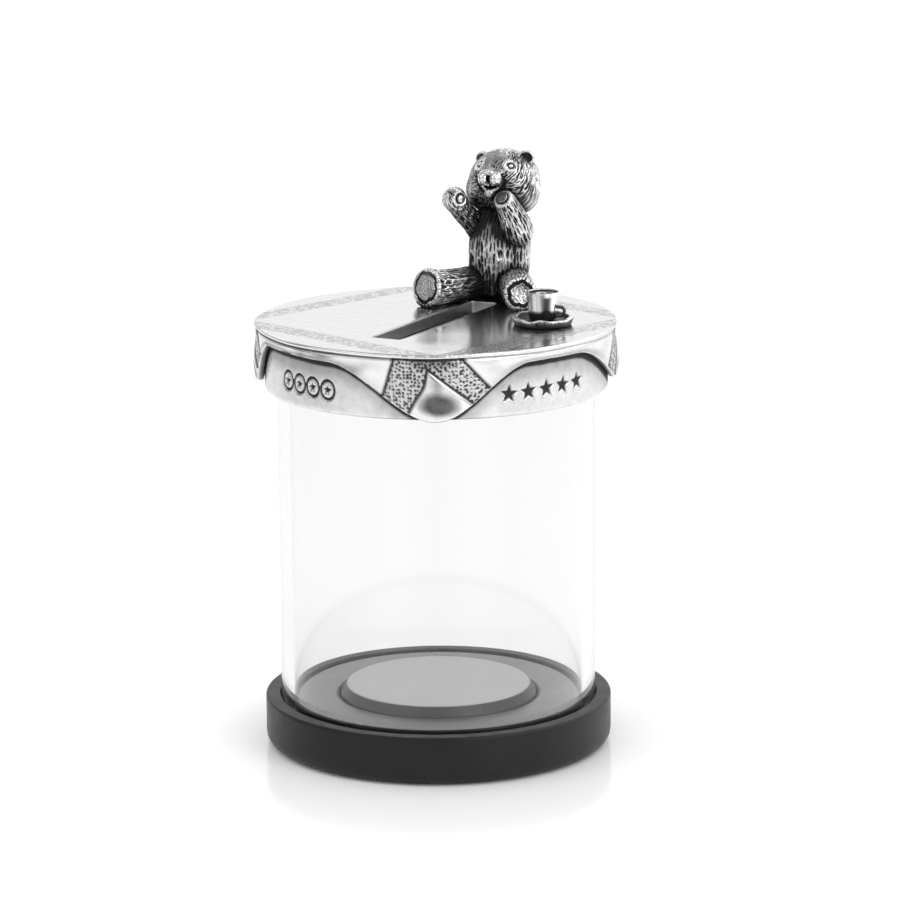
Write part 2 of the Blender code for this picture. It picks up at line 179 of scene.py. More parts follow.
def piece_from_grid(name, points, look, body, replaced=(), loop_rows=False, patina_and_painted_light=None, flip=False):
    """A closed piece from points[row, column]: the columns wrap round, and the rows either wrap too
    or end in a pole at the middle of the first and the last row. patina_and_painted_light, from 0 to 1,
    is how black the metal is, from oxide and painted shade, or how much painted light greys black rubber.
    """
    rows, columns, _ = points.shape
    places = points.reshape(-1, 3)
    quads = grid_faces(rows, columns, loop_rows)
    tone = np.zeros(rows * columns) if patina_and_painted_light is None else np.asarray(patina_and_painted_light, float).reshape(-1)
    corners = [quads.reshape(-1)]
    sizes = [np.full(len(quads), 4)]
    if not loop_rows:
        tips = np.stack([points[0].mean(axis=0), points[-1].mean(axis=0)])
        places = np.concatenate([places, tips])
        first = np.arange(columns)
        last = first + (rows - 1) * columns
        low_tip = np.full(columns, rows * columns)
        fans = [np.stack([np.roll(first, -1), first, low_tip], axis=-1)]
        fans.append(np.stack([last, np.roll(last, -1), low_tip + 1], axis=-1))
        corners.append(np.concatenate(fans).reshape(-1))
        sizes.append(np.full(columns * 2, 3))
        tone = np.concatenate([tone, [tone[:columns].mean(), tone[-columns:].mean()]])
    corners, sizes = np.concatenate(corners), np.concatenate(sizes)
    mesh = bpy.data.meshes.new(name)
    mesh.vertices.add(len(places))
    mesh.vertices.foreach_set("co", places.astype(np.float32).reshape(-1))
    mesh.loops.add(len(corners))
    mesh.loops.foreach_set("vertex_index", corners.astype(np.int32))
    mesh.polygons.add(len(sizes))
    starts = np.concatenate([[0], np.cumsum(sizes)[:-1]])
    mesh.polygons.foreach_set("loop_start", starts.astype(np.int32))
    mesh.update(calc_edges=True)
    mesh.validate()
    if flip:
        mesh.flip_normals()
    tone_layer = mesh.attributes.new("patina_and_painted_light", "FLOAT", "POINT")
    tone_layer.data.foreach_set("value", np.clip(tone, 0.0, 1.0).astype(np.float32))
    mesh.shade_smooth()
    mesh.set_sharp_from_angle(angle=math.radians(50.0))
    mesh.materials.append(look)
    piece = add_object(name, mesh)
    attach(piece, body)
    if replaced:
        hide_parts(*replaced)
    return piece


def filleted(corners):
    """A section with each corner (radius, height, fillet) rounded by a parabola through its ends.

    A point is added beside each fillet, so that the flat stretches between them shade flat.
    """
    steps, beside = 5, 1.6
    places = np.array([corner[:2] for corner in corners])
    before, after = np.roll(places, 1, axis=0), np.roll(places, -1, axis=0)
    section = []
    for place, back, ahead, (_, _, fillet) in zip(places, before, after, corners):
        toward_back, toward_ahead = back - place, ahead - place
        cut_back = toward_back / np.linalg.norm(toward_back) * fillet
        cut_ahead = toward_ahead / np.linalg.norm(toward_ahead) * fillet
        section.append(place + cut_back * beside)
        for share in np.linspace(0.0, 1.0, steps):
            section.append(place + cut_back * (1.0 - share) ** 2 + cut_ahead * share**2)
        section.append(place + cut_ahead * beside)
    return np.array(section)


def ring_section(inner, outer, low, high, fillet):
    """The section of a plain ring, with the same fillet on all four corners."""
    corners = ((inner, low), (outer, low), (outer, high), (inner, high))
    return filleted([(*corner, fillet) for corner in corners])


def between(start, end, count):
    """Points at even steps between two points, without the two themselves."""
    share = np.linspace(0.0, 1.0, count + 2)[1:-1, None]
    return (1.0 - share) * start + share * end


def turned(section, sides=SIDES, middle=(0.0, 0.0)):
    """Points of a section (radius, height) carried round the vertical through middle."""
    angle = np.linspace(0.0, math.tau, sides, endpoint=False)
    radius, height = section[:, :1], section[:, 1:]
    x = middle[0] + radius * np.cos(angle)
    y = middle[1] + radius * np.sin(angle)
    return np.stack([x, y, np.broadcast_to(height, x.shape)], axis=-1)


def from_axis(points, middle=(0.0, 0.0)):
    """The distance of each point from the vertical through middle."""
    return np.hypot(points[..., 0] - middle[0], points[..., 1] - middle[1])


def normals_of(points):
    """Unit normals of a grid from the cross product of its two directions."""
    along_columns = np.roll(points, -1, axis=1) - np.roll(points, 1, axis=1)
    along_rows = np.gradient(points, axis=0)
    across = np.cross(along_columns, along_rows)
    return across / np.maximum(np.linalg.norm(across, axis=-1, keepdims=True), 1e-12)


# Materials


def add_node(tree, kind, inputs=None, **settings):
    """Adds a node, sets its settings, and gives each input a value or a link."""
    made = tree.nodes.new(kind)
    for name, value in settings.items():
        setattr(made, name, value)
    for name, value in (inputs or {}).items():
        if isinstance(value, bpy.types.NodeSocket):
            tree.links.new(value, made.inputs[name])
        else:
            made.inputs[name].default_value = value
    return made


def new_look(name):
    """A new material, its node tree and its shader."""
    look = bpy.data.materials.new(name)
    look.use_nodes = True
    return look, look.node_tree, look.node_tree.nodes["Principled BSDF"]


def attribute(tree, name):
    """The value that a mesh carries at each point under a name."""
    return add_node(tree, "ShaderNodeAttribute", attribute_name=name).outputs["Fac"]


def add_bump(tree, shader, height, strength, distance):
    """Tilts the shader's normal as height says."""
    bump = add_node(tree, "ShaderNodeBump", {"Height": height, "Strength": strength, "Distance": distance})
    tree.links.new(bump.outputs["Normal"], shader.inputs["Normal"])


def grain(tree, scale, detail, stretch=(1.0, 1.0, 1.0)):
    """Noise in object coordinates, about 1 / scale metres across."""
    place = add_node(tree, "ShaderNodeTexCoord").outputs["Object"]
    mapped = add_node(tree, "ShaderNodeMapping", {"Vector": place, "Scale": stretch}).outputs["Vector"]
    noise = add_node(tree, "ShaderNodeTexNoise", {"Vector": mapped, "Scale": scale, "Detail": detail})
    return noise.outputs["Fac"]


def spread(tree, value, low, high, to_low, to_high):
    """Maps value from low..high to to_low..to_high, and clamps it."""
    settings = {"Value": value, "From Min": low, "From Max": high, "To Min": to_low, "To Max": to_high}
    return add_node(tree, "ShaderNodeMapRange", settings).outputs["Result"]


def arithmetic(tree, operation, first, second):
    """The result of a sum on two values or outputs. Additions are clamped to 0..1."""
    node = add_node(tree, "ShaderNodeMath", operation=operation, use_clamp=operation == "ADD")
    for socket, value in zip(node.inputs, (first, second)):
        if isinstance(value, bpy.types.NodeSocket):
            tree.links.new(value, socket)
        else:
            socket.default_value = value
    return node.outputs[0]


def mixed_colour(tree, share, first, second):
    """A colour between first and second; first may be the output of another node."""
    node = add_node(tree, "ShaderNodeMixRGB", {"Fac": share, "Color2": (*second, 1.0)})
    if isinstance(first, tuple):
        node.inputs["Color1"].default_value = (*first, 1.0)
    else:
        tree.links.new(first, node.inputs["Color1"])
    return node.outputs["Color"]


def pewter(name, bright, black, polish, dull_and_painted_shade, tarnish=0.25, brushing=0.04, laced=False):
    """Antique pewter: the patina_and_painted_light attribute, oxide and painted shade, blackens it,
    and fine noise breaks up the polish.
    """
    look, tree, shader = new_look(name)
    patina_and_painted_light = attribute(tree, "patina_and_painted_light")
    cloud = spread(tree, grain(tree, 420.0, 6.0), 0.35, 0.75, 0.0, tarnish)
    speck = spread(tree, grain(tree, 2600.0, 2.0), 0.55, 0.75, 0.0, tarnish * 0.8)
    blackness = arithmetic(tree, "ADD", patina_and_painted_light, arithmetic(tree, "ADD", cloud, speck))
    height = arithmetic(tree, "ADD", grain(tree, 1500.0, 5.0), grain(tree, 300.0, 2.0))
    if laced:
        inside, pebble = lace_border(tree)
        gaps = arithmetic(tree, "MULTIPLY", inside, spread(tree, pebble, 0.30, 0.62, 0.0, 0.38))
        blackness = arithmetic(tree, "ADD", blackness, gaps)
        domes = arithmetic(tree, "MULTIPLY", inside, spread(tree, pebble, 0.0, 0.6, 5.0, 0.0))
        height = add_node(tree, "ShaderNodeMath", {0: height, 1: domes}, operation="ADD").outputs[0]
    tree.links.new(mixed_colour(tree, blackness, bright, black), shader.inputs["Base Color"])
    tree.links.new(spread(tree, blackness, 0.0, 1.0, polish, dull_and_painted_shade), shader.inputs["Roughness"])
    tree.links.new(spread(tree, blackness, 0.55, 1.0, 1.0, 0.55), shader.inputs["Metallic"])
    add_bump(tree, shader, height, brushing, 0.0004)
    return look


def lace_border(tree):
    """Where the top's lace strips are, along a square's four sides, and the pebbles in them.

    Gives 1 inside the strips, and the distance from the nearest pebble's middle in pebble sizes.
    """
    place = add_node(tree, "ShaderNodeTexCoord").outputs["Object"]
    turn = (0.0, 0.0, -(FRONT_CORNER + QUARTER / 2.0))
    square = add_node(tree, "ShaderNodeMapping", {"Vector": place, "Rotation": turn})
    parts = add_node(tree, "ShaderNodeSeparateXYZ", {"Vector": square.outputs["Vector"]})
    strips = []
    for axis in ("X", "Y"):
        away = arithmetic(tree, "ABSOLUTE", parts.outputs[axis], 0.0)
        off = arithmetic(tree, "ABSOLUTE", arithmetic(tree, "SUBTRACT", away, LACE_SQUARE * MM), 0.0)
        strips.append(spread(tree, off, 2.5 * MM, 2.8 * MM, 1.0, 0.0))
    inside = arithmetic(tree, "MAXIMUM", *strips)
    on_top = spread(tree, parts.outputs["Z"], LID_TOP - 0.7 * MM, LID_TOP - 0.4 * MM, 0.0, 1.0)
    pebbles = add_node(tree, "ShaderNodeTexVoronoi", {"Vector": place, "Scale": 1050.0, "Randomness": 0.85})
    return arithmetic(tree, "MULTIPLY", inside, on_top), pebbles.outputs["Distance"]


def satin_black(name, grey, roughness, wear=0.03, bump_strength=0.05, gloss=0.5, lit_grey=None):
    """Satin black lacquer or rubber: a faint mottle in tone and gloss, and a fine grain.

    Where a piece's patina_and_painted_light value is above 0 its grey turns towards lit_grey, if that
    is given: painted light, a lighter grey for a face that the light falls on.
    """
    look, tree, shader = new_look(name)
    shader.inputs["Specular IOR Level"].default_value = gloss
    mottle = grain(tree, 180.0, 5.0)
    mottled = mixed_colour(tree, spread(tree, mottle, 0.35, 0.8, 0.0, 0.5), (grey,) * 3, (grey + wear,) * 3)
    if lit_grey:
        mottled = mixed_colour(tree, attribute(tree, "patina_and_painted_light"), mottled, (lit_grey,) * 3)
    tree.links.new(mottled, shader.inputs["Base Color"])
    matt = spread(tree, mottle, 0.3, 0.7, roughness - 0.04, roughness + 0.06)
    tree.links.new(matt, shader.inputs["Roughness"])
    add_bump(tree, shader, grain(tree, 2400.0, 3.0), bump_strength, 0.0002)
    return look


def clear_glass():
    """Clear tube glass, with a very faint waviness from drawing."""
    look, tree, shader = new_look("clear_glass")
    shader.inputs["Base Color"].default_value = (0.92, 0.925, 0.922, 1.0)
    shader.inputs["Roughness"].default_value = 0.0
    shader.inputs["IOR"].default_value = 1.47
    shader.inputs["Transmission Weight"].default_value = 1.0
    wave = grain(tree, 60.0, 1.0, stretch=(1.0, 1.0, 0.08))
    add_bump(tree, shader, wave, 0.03, 0.0005)
    return look


# Base, glass, seals and stopper


def make_base(look):
    """The black base: a turned plate with a groove for the glass and a hole for the stopper."""
    top, low, radius = BASE_HIGH.z, BASE_LOW.z, BASE_HIGH.x
    groove_outer, groove_inner = GLASS_HIGH.x + GAP, GLASS_HIGH.x - GLASS_WALL - GAP
    hole = 22.2 * MM
    flange_bore, flange_ceiling = STOPPER_HIGH.x + GAP, low + 3.5 * MM
    pad_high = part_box("base_pad")[1]
    pad_inner, pad_outer, pad_ceiling = 28.2 * MM, pad_high.x + GAP, pad_high.z + GAP
    fine, small = 0.15 * MM, 0.35 * MM
    section = filleted([
        (hole, flange_ceiling, fine),
        (flange_bore, flange_ceiling, fine),
        (flange_bore, low, fine),
        (pad_inner, low, fine),
        (pad_inner, pad_ceiling, fine),
        (pad_outer, pad_ceiling, fine),
        (pad_outer, low, fine),
        (radius, low, 2.4 * MM),
        (radius, top, 0.6 * MM),
        (groove_outer, top, small),
        (groove_outer, GLASS_LOW.z - 1.4 * MM, fine),
        (groove_inner, GLASS_LOW.z - 1.4 * MM, fine),
        (groove_inner, top, small),
        (hole, top, small),
    ])
    piece_from_grid("base_turned", turned(section), look, "jar", ["base_plate"], True)


def make_jar_floor(look):
    """The ring of the base that shows inside the jar, round the stopper: glossier than the rest of the
    base, and a lighter grey, which is painted light on this top face.
    """
    top = BASE_HIGH.z
    inner, outer = 22.8 * MM, GLASS_HIGH.x - GLASS_WALL - 0.9 * MM
    section = ring_section(inner, outer, top - 0.2 * MM, top + 0.03 * MM, 0.02 * MM)
    piece_from_grid("jar_floor_ring", turned(section), look, "jar", (), True)


def make_glass(look):
    """The tube, with fire-polished ends. Clear glass hardly casts a shadow, so it casts none."""
    outer = GLASS_HIGH.x
    section = ring_section(outer - GLASS_WALL, outer, GLASS_LOW.z, GLASS_HIGH.z, 0.9 * MM)
    points = turned(section)
    tube = piece_from_grid("glass_tube", points, look, "jar", ["glass_cylinder"], True)
    tube.visible_shadow = False


def make_stopper(look):
    """The bung: a turned, bevelled plug with a flange, and two finger hollows beside a bar below."""
    low, top, flange = STOPPER_LOW.z, STOPPER_HIGH.z, STOPPER_HIGH.x
    plug, crown, reach = 21.9 * MM, 20.4 * MM, 15.0 * MM
    rows_below = 70
    inner = np.linspace(0.3 * MM, reach + 3.0 * MM, rows_below)
    below = np.stack([inner, np.full(rows_below, low)], axis=-1)
    outer = filleted([
        (reach + 4.0 * MM, low, 0.2 * MM), (flange, low, 0.4 * MM), (flange, low + 2.5 * MM, 0.4 * MM),
        (plug, low + 2.5 * MM, 0.2 * MM), (plug, BASE_HIGH.z + 0.2 * MM, 0.3 * MM), (crown, top, 0.45 * MM),
        (0.3 * MM, top, 0.1 * MM),
    ])
    points = turned(np.concatenate([below, outer]))
    from_bar = np.abs(points[..., 1])
    hollow = ease(reach, reach - 0.8 * MM, from_axis(points)) * ease(2.5 * MM, 3.3 * MM, from_bar)
    hollow = hollow * (np.arange(len(points)) < rows_below)[:, None]
    points[..., 2] += hollow * 5.8 * MM
    points[..., 2] = np.minimum(points[..., 2], top)
    # Painted light: the top face turns to its material's lighter lit_grey, as if lit from above
    face = ease(top - 0.25 * MM, top - 0.02 * MM, points[..., 2])
    piece_from_grid("stopper_turned", points, look, "stopper", ["stopper"], patina_and_painted_light=face)


def restyle(node, look):
    """Gives a piece whose frame shape is right its own material."""
    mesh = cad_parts[node].data
    mesh.materials.clear()
    mesh.materials.append(look)


# Lid


def corner_angle(theta):
    """The signed angle from the nearest hanging corner, and the number of that corner."""
    turns = (theta - FRONT_CORNER) / QUARTER
    number = np.round(turns)
    return (turns - number) * QUARTER, np.mod(number, 4).astype(int)


# For each corner, from the front one anticlockwise: tip height below the lid's top, and how far
# the cloth takes to rise on its clockwise and anticlockwise side
TIP_DROP = np.array([14.6, 12.9, 14.0, 13.4]) * MM
CLOCKWISE_SPREAD = np.radians([36.0, 39.0, 33.0, 36.0])
ANTICLOCKWISE_SPREAD = np.radians([31.0, 34.0, 36.0, 22.0])
HEM_DROP = 3.0 * MM
# The radius, in mm, at which distances round the rim are measured
RIM = 40.0


def hem_drop(theta):
    """How far below the lid's top the cloth's edge hangs: a smooth step away from each tip."""
    away, number = corner_angle(theta)
    spread_here = np.where(away < 0.0, CLOCKWISE_SPREAD[number], ANTICLOCKWISE_SPREAD[number])
    rise = ease(0.0, 1.0, np.sqrt(away**2 + math.radians(1.2) ** 2) / spread_here)
    ripple = 0.15 * MM * np.sin(theta * 7.0 + 1.0)
    return TIP_DROP[number] + (HEM_DROP - TIP_DROP[number]) * rise + ripple * rise


def line_side(x, y, start, end):
    """Signed distance from a line, positive to the left of the way from start to end."""
    along = np.array(end) - np.array(start)
    along = along / np.hypot(*along)
    return (y - start[1]) * along[0] - (x - start[0]) * along[1]


def corner_lace(arc, drop):
    """Signed distance inside the two lace strips that cross on a hanging corner, in mm.

    arc is the distance round the rim from the tip, and drop the distance below the lid's top.
    """
    right = np.minimum(
        line_side(arc, -drop, (11.0, -6.8), (5.4, -0.9)),
        line_side(arc, -drop, (-1.9, -3.1), (7.6, -10.5)),
    )
    bow = 0.9 * bell(drop - 7.0, 3.0)
    left = np.minimum(
        line_side(arc, -drop, (-9.1, -1.1), (-11.9, -9.8)),
        line_side(arc - bow, -drop, (-5.9, -12.7), (-1.9, -3.1)),
    )
    return np.maximum(left, right)


def slot_edge(theta):
    """The slot's outline as a superellipse, which has straight sides and tight corners."""
    half_length, power = 23.4 * MM, 0.14
    cosine, sine = np.cos(theta), np.sin(theta)
    x = SLOT_X + SLOT_HALF_WIDTH * np.sign(cosine) * np.abs(cosine) ** power
    y = SLOT_Y + half_length * np.sign(sine) * np.abs(sine) ** power
    return x, y


def cloth_columns(count):
    """Angles round the lid, four times closer together at the hanging corners than between them."""
    share = np.linspace(-1.0, 1.0, count // 4, endpoint=False)
    offset = (0.42 * share + 0.58 * share * np.abs(share)) * QUARTER / 2.0
    return np.concatenate([FRONT_CORNER + number * QUARTER + offset for number in range(4)])


def skirt_relief(theta, arc, drop):
    """How far the skirt's face stands out, in mm, and how black it is.

    arc is the distance round the rim from the tip, and drop the distance below the lid's top. The
    relief is a sum: a groove under the rim, folds, hammer marks, a bulge at the tip and corner lace.
    The blackness is oxide in the groove, marks and lace, a painted dark reflection on the tip's bulge
    and painted shade on the lace just under the rim.
    """
    groove = bell(drop - 1.15, 0.26) * (0.65 + 0.35 * np.cos(theta + 2.4))
    lace = corner_lace(arc, drop)
    in_lace = ease(-0.1, 0.25, lace)
    marks = pits(arc, drop, 0.80, 11.0, 0.40) * in_lace
    outline = bell(lace, 0.34)
    bulge = 0.6 * bell(arc - 0.8, 4.6) * bell(drop - 9.0, 3.4)
    # Painted reflection: a soft dark patch on the bulge at the tip
    patch_height = 2.9 + 0.4 * np.sign(11.0 - drop)
    from_reflection_middle = np.hypot((arc - 0.7) / 4.7, (drop - 11.0 - 0.05 * arc) / patch_height)
    from_reflection_middle = from_reflection_middle + 0.05 * clouds(arc, drop, 0.0, 1.7, 14.0)
    painted_reflection_tip = 0.86 * ease(1.18, 0.50, from_reflection_middle) * ease(0.0, -0.6, lace)
    fold = 0.22 * np.sin(arc * 0.42 + drop * 0.5) * ease(9.0, 16.0, np.abs(arc)) * ease(1.5, 5.0, drop)
    worked = 0.22 * clouds(theta * RIM, drop, 0.0, 4.6, 8.0) * ease(0.4, 2.6, drop)
    out = bulge + fold + worked * (1.0 - in_lace) - 0.30 * groove - 0.16 * marks
    out = out - 0.30 * outline - 0.06 * in_lace
    # Lace is a little darker all over; near the tip, just under the rim, it gets painted shade too
    lace_tone_and_painted_shade = in_lace * (0.22 + 0.40 * ease(3.8, 2.0, drop) * ease(6.5, 3.0, np.abs(arc + 0.5)))
    return out, groove + 1.2 * marks + outline + painted_reflection_tip + lace_tone_and_painted_shade


def make_cloth(look):
    """The lid's tablecloth: slot wall, flat top, rolled rim, hanging skirt and underside in one loop."""
    theta = cloth_columns(800)
    away, number = corner_angle(theta)
    drop_to_hem = hem_drop(theta)
    share = bell(away, math.radians(10.5))
    wave = 0.22 * MM * np.sin(theta * 9.0 + 0.6) + 0.15 * MM * np.sin(theta * 5.0 + 2.1)
    flare = np.array([1.0, 0.2, 1.0, 0.0])[number] * MM
    rim = CLOTH_HIGH.x - 0.40 * MM + 0.7 * wave + flare * share
    slot_x, slot_y = slot_edge(theta)
    bead = 0.48 * MM
    rows, tones = [], []

    def add_row(x, y, z, tone):
        rows.append(np.stack([x, y, z + np.zeros_like(x)], axis=-1))
        tones.append(tone + np.zeros_like(x))

    def add_ring(radius, z, tone):
        add_row(radius * np.cos(theta), radius * np.sin(theta), z, tone)

    # Flat top, from the slot to the rim
    lip = 0.18 * MM
    for step, sink in ((0.0, lip), (0.35, lip * 0.3), (1.0, 0.0)):
        grow = 1.0 + step * lip / SLOT_HALF_WIDTH
        add_row((slot_x - SLOT_X) * grow + SLOT_X, slot_y * (1.0 + step * 0.002), LID_TOP - sink, 0.25)
    inner = rim - bead
    for along in np.linspace(0.02, 1.0, 34) ** 0.9:
        x = slot_x * (1.0 - along) + inner * np.cos(theta) * along
        y = slot_y * (1.0 - along) + inner * np.sin(theta) * along
        lace = top_lace(x, y)
        line = bell(lace, 0.3)
        dip = 0.05 * MM * clouds(x / MM, y / MM, 0.0, 9.0, 3.0)
        add_row(x, y, LID_TOP - 0.06 * MM + dip - 0.04 * MM * line, 0.10 * line)
    # Rolled rim, and the skirt below it
    for turn in np.radians([70.0, 50.0, 30.0, 12.0, -10.0, -32.0, -55.0]):
        add_ring(inner + bead * np.cos(turn), LID_TOP - bead + bead * np.sin(turn), 0.03)
    skirt_top = LID_TOP - bead * 1.9
    hem_radius = np.minimum(rim, 39.30 * MM + flare * share)
    arc = away * RIM
    # Painted reflection: the skirt is made darker just above the hem where the hem hangs high, at the
    # arches
    rise = ease(0.0, 1.0, (LID_TOP - drop_to_hem - CLOTH_LOW.z) / (12.0 * MM))
    for along in np.linspace(0.0, 1.0, 62):
        z = skirt_top + (LID_TOP - drop_to_hem + 0.35 * MM - skirt_top) * along
        radius = rim + (hem_radius - rim) * along - 0.25 * MM * (1.0 - along)
        out, tone = skirt_relief(theta, arc, (LID_TOP - z) / MM)
        add_ring(radius + out * MM, z, tone + 0.42 * rise**3 * ease(0.45, 0.95, along))
    # Hem, inside of the skirt and underside
    skirt_bore = BAND_HIGH.x + GAP
    hem = LID_TOP - drop_to_hem
    outer = hem_radius + 0.1 * MM * bell(arc - 0.8, 4.2) * share
    add_ring(outer - 0.08 * MM, hem + 0.15 * MM, 0.05)
    add_ring(outer - 0.35 * MM, hem, 0.30)
    add_ring(np.minimum(outer - 0.6 * MM, (outer + skirt_bore) / 2.0), hem, 0.6)
    add_ring(skirt_bore, hem + 0.1 * MM, 0.9)
    underside = LID_TOP - 2.6 * MM
    for share_up in (0.3, 0.65, 1.0):
        add_ring(skirt_bore, np.minimum(hem + 0.1 * MM + (underside - hem) * share_up, underside), 0.9)
    for along in (0.97, 0.7, 0.4, 0.15, 0.02, 0.0):
        x = slot_x * (1.0 - along) + skirt_bore * np.cos(theta) * along
        y = slot_y * (1.0 - along) + skirt_bore * np.sin(theta) * along
        add_row(x, y, underside, 0.55)
    for share_up in (0.2, 0.5, 0.8):
        add_row(slot_x, slot_y, underside + (LID_TOP - lip - underside) * share_up, 0.45)
    points, tone = np.stack(rows), np.stack(tones)
    points[..., :2] = np.clip(points[..., :2], -CLOTH_HIGH.x, CLOTH_HIGH.x)
    piece_from_grid("lid_tablecloth", points, look, "lid", ["lid_top"], True, tone, flip=True)


def top_lace(x, y):
    """Signed distance inside the lace border on the top, in mm: four strips along a square's sides."""
    turn = -(FRONT_CORNER + QUARTER / 2.0)
    across = np.abs(x * math.cos(turn) - y * math.sin(turn)) / MM
    up = np.abs(x * math.sin(turn) + y * math.cos(turn)) / MM
    half_strip = 2.7
    return half_strip - np.minimum(np.abs(across - LACE_SQUARE), np.abs(up - LACE_SQUARE))


def coin_mark(x, y):
    """Depth of an engraved coin: a ring with a star in it. x and y are in mm from its middle."""
    ring = ease(0.42, 0.16, np.abs(np.hypot(x, y * 0.92) - 1.85))
    return np.maximum(ring, star_mark(x * 2.0, y * 2.0))


def star_mark(x, y):
    """Depth of an engraved five-pointed star: how far inside the line from a point to a notch."""
    fifth = math.tau / 5.0
    folded = np.abs(np.mod(np.arctan2(x, y) + fifth / 2.0, fifth) - fifth / 2.0)
    away = np.hypot(x, y)
    point = np.array([2.45, 0.0])
    notch = 1.05 * np.array([math.cos(fifth / 2.0), math.sin(fifth / 2.0)])
    inside = line_side(away * np.cos(folded), away * np.sin(folded), notch, point)
    return ease(-0.1, 0.35, -inside)


def make_band(look):
    """The band under the cloth, engraved with a row of coins or stars between each two corners."""
    theta = np.linspace(0.0, math.tau, 1100, endpoint=False) + FRONT_CORNER
    low, high, radius = BAND_LOW.z, BAND_HIGH.z, BAND_HIGH.x
    bore = GLASS_HIGH.x + 0.4 * MM
    outer = filleted([
        (bore, low, 0.2 * MM), (radius, low, 0.8 * MM), (radius, high, 0.5 * MM), (bore, high, 0.2 * MM),
    ])
    # More rows on the engraved face, after the seven points of each of the two lower fillets
    face_rows, lower = 44, 14
    face = np.linspace([radius, low + 1.4 * MM], [radius, high - 0.9 * MM], face_rows)
    section = np.concatenate([outer[:lower], face, outer[lower:]])
    x, y = section[:, :1] * np.cos(theta), section[:, :1] * np.sin(theta)
    points = np.stack([x, y, np.broadcast_to(section[:, 1:], x.shape)], axis=-1)
    height = (points[..., 2] - low) / MM
    outside = (section[:, 0] > radius - 0.01 * MM)[:, None]
    arc = np.mod(theta - FRONT_CORNER, math.tau) * radius / MM
    quarter = QUARTER * radius / MM
    cut = np.zeros_like(height)
    for panel, (mark, count, pitch, middle, level, slope) in enumerate((
        (star_mark, 5, 4.75, 0.43, 5.1, 0.02),
        (coin_mark, 4, 4.30, 0.48, 4.9, 0.0),
        (star_mark, 5, 4.75, 0.50, 5.0, 0.0),
        (coin_mark, 4, 4.30, 0.47, 5.2, -0.02),
    )):
        for number in range(count):
            at = (panel + middle) * quarter + (number - (count - 1) / 2.0) * pitch
            rise = level + slope * (number - (count - 1) / 2.0) * pitch
            tilt = 0.3 * (scatter(float(number), float(panel), 9.0) - 0.5)
            x, y = arc - at, height - rise
            turned_x = x * math.cos(tilt) - y * math.sin(tilt)
            cut = np.maximum(cut, mark(turned_x, x * math.sin(tilt) + y * math.cos(tilt)))
    cut = cut * outside
    inward = 0.38 * MM * cut
    ripple = 0.05 * MM * clouds(arc, height, 0.0, 3.2, 4.0) * outside
    scale = 1.0 - (inward - np.minimum(ripple, 0.0)) / radius
    points[..., :2] *= scale[..., None]
    hem = (LID_TOP - hem_drop(theta) - low) / MM
    shadow = 0.80 * ease(hem - 1.7, hem - 0.7, height) + 0.30 * ease(hem - 6.0, hem - 1.0, height)
    shadow = shadow * (section[:, 0] > bore + 0.4 * MM)[:, None]
    tone = np.maximum(cut, shadow) + 0.05 + 0.12 * ease(4.0, 10.0, height)
    piece_from_grid("lid_engraved_band", points, look, "lid", ["lid_band"], True, tone)


# Bear


def spline(knots, count):
    """A Catmull-Rom curve through the knots, as count points at even steps of its parameter."""
    knots = np.asarray(knots, float)
    ends = np.concatenate([2.0 * knots[:1] - knots[1:2], knots, 2.0 * knots[-1:] - knots[-2:-1]])
    place = np.linspace(0.0, len(knots) - 1.0, count)
    span = np.minimum(place.astype(int), len(knots) - 2)
    share = (place - span)[:, None]
    first, second, third, fourth = (ends[span + step] for step in range(4))
    bend = 2.0 * second + (third - first) * share
    bend = bend + (2.0 * first - 5.0 * second + 4.0 * third - fourth) * share**2
    return 0.5 * (bend + (3.0 * second - first - 3.0 * third + fourth) * share**3)


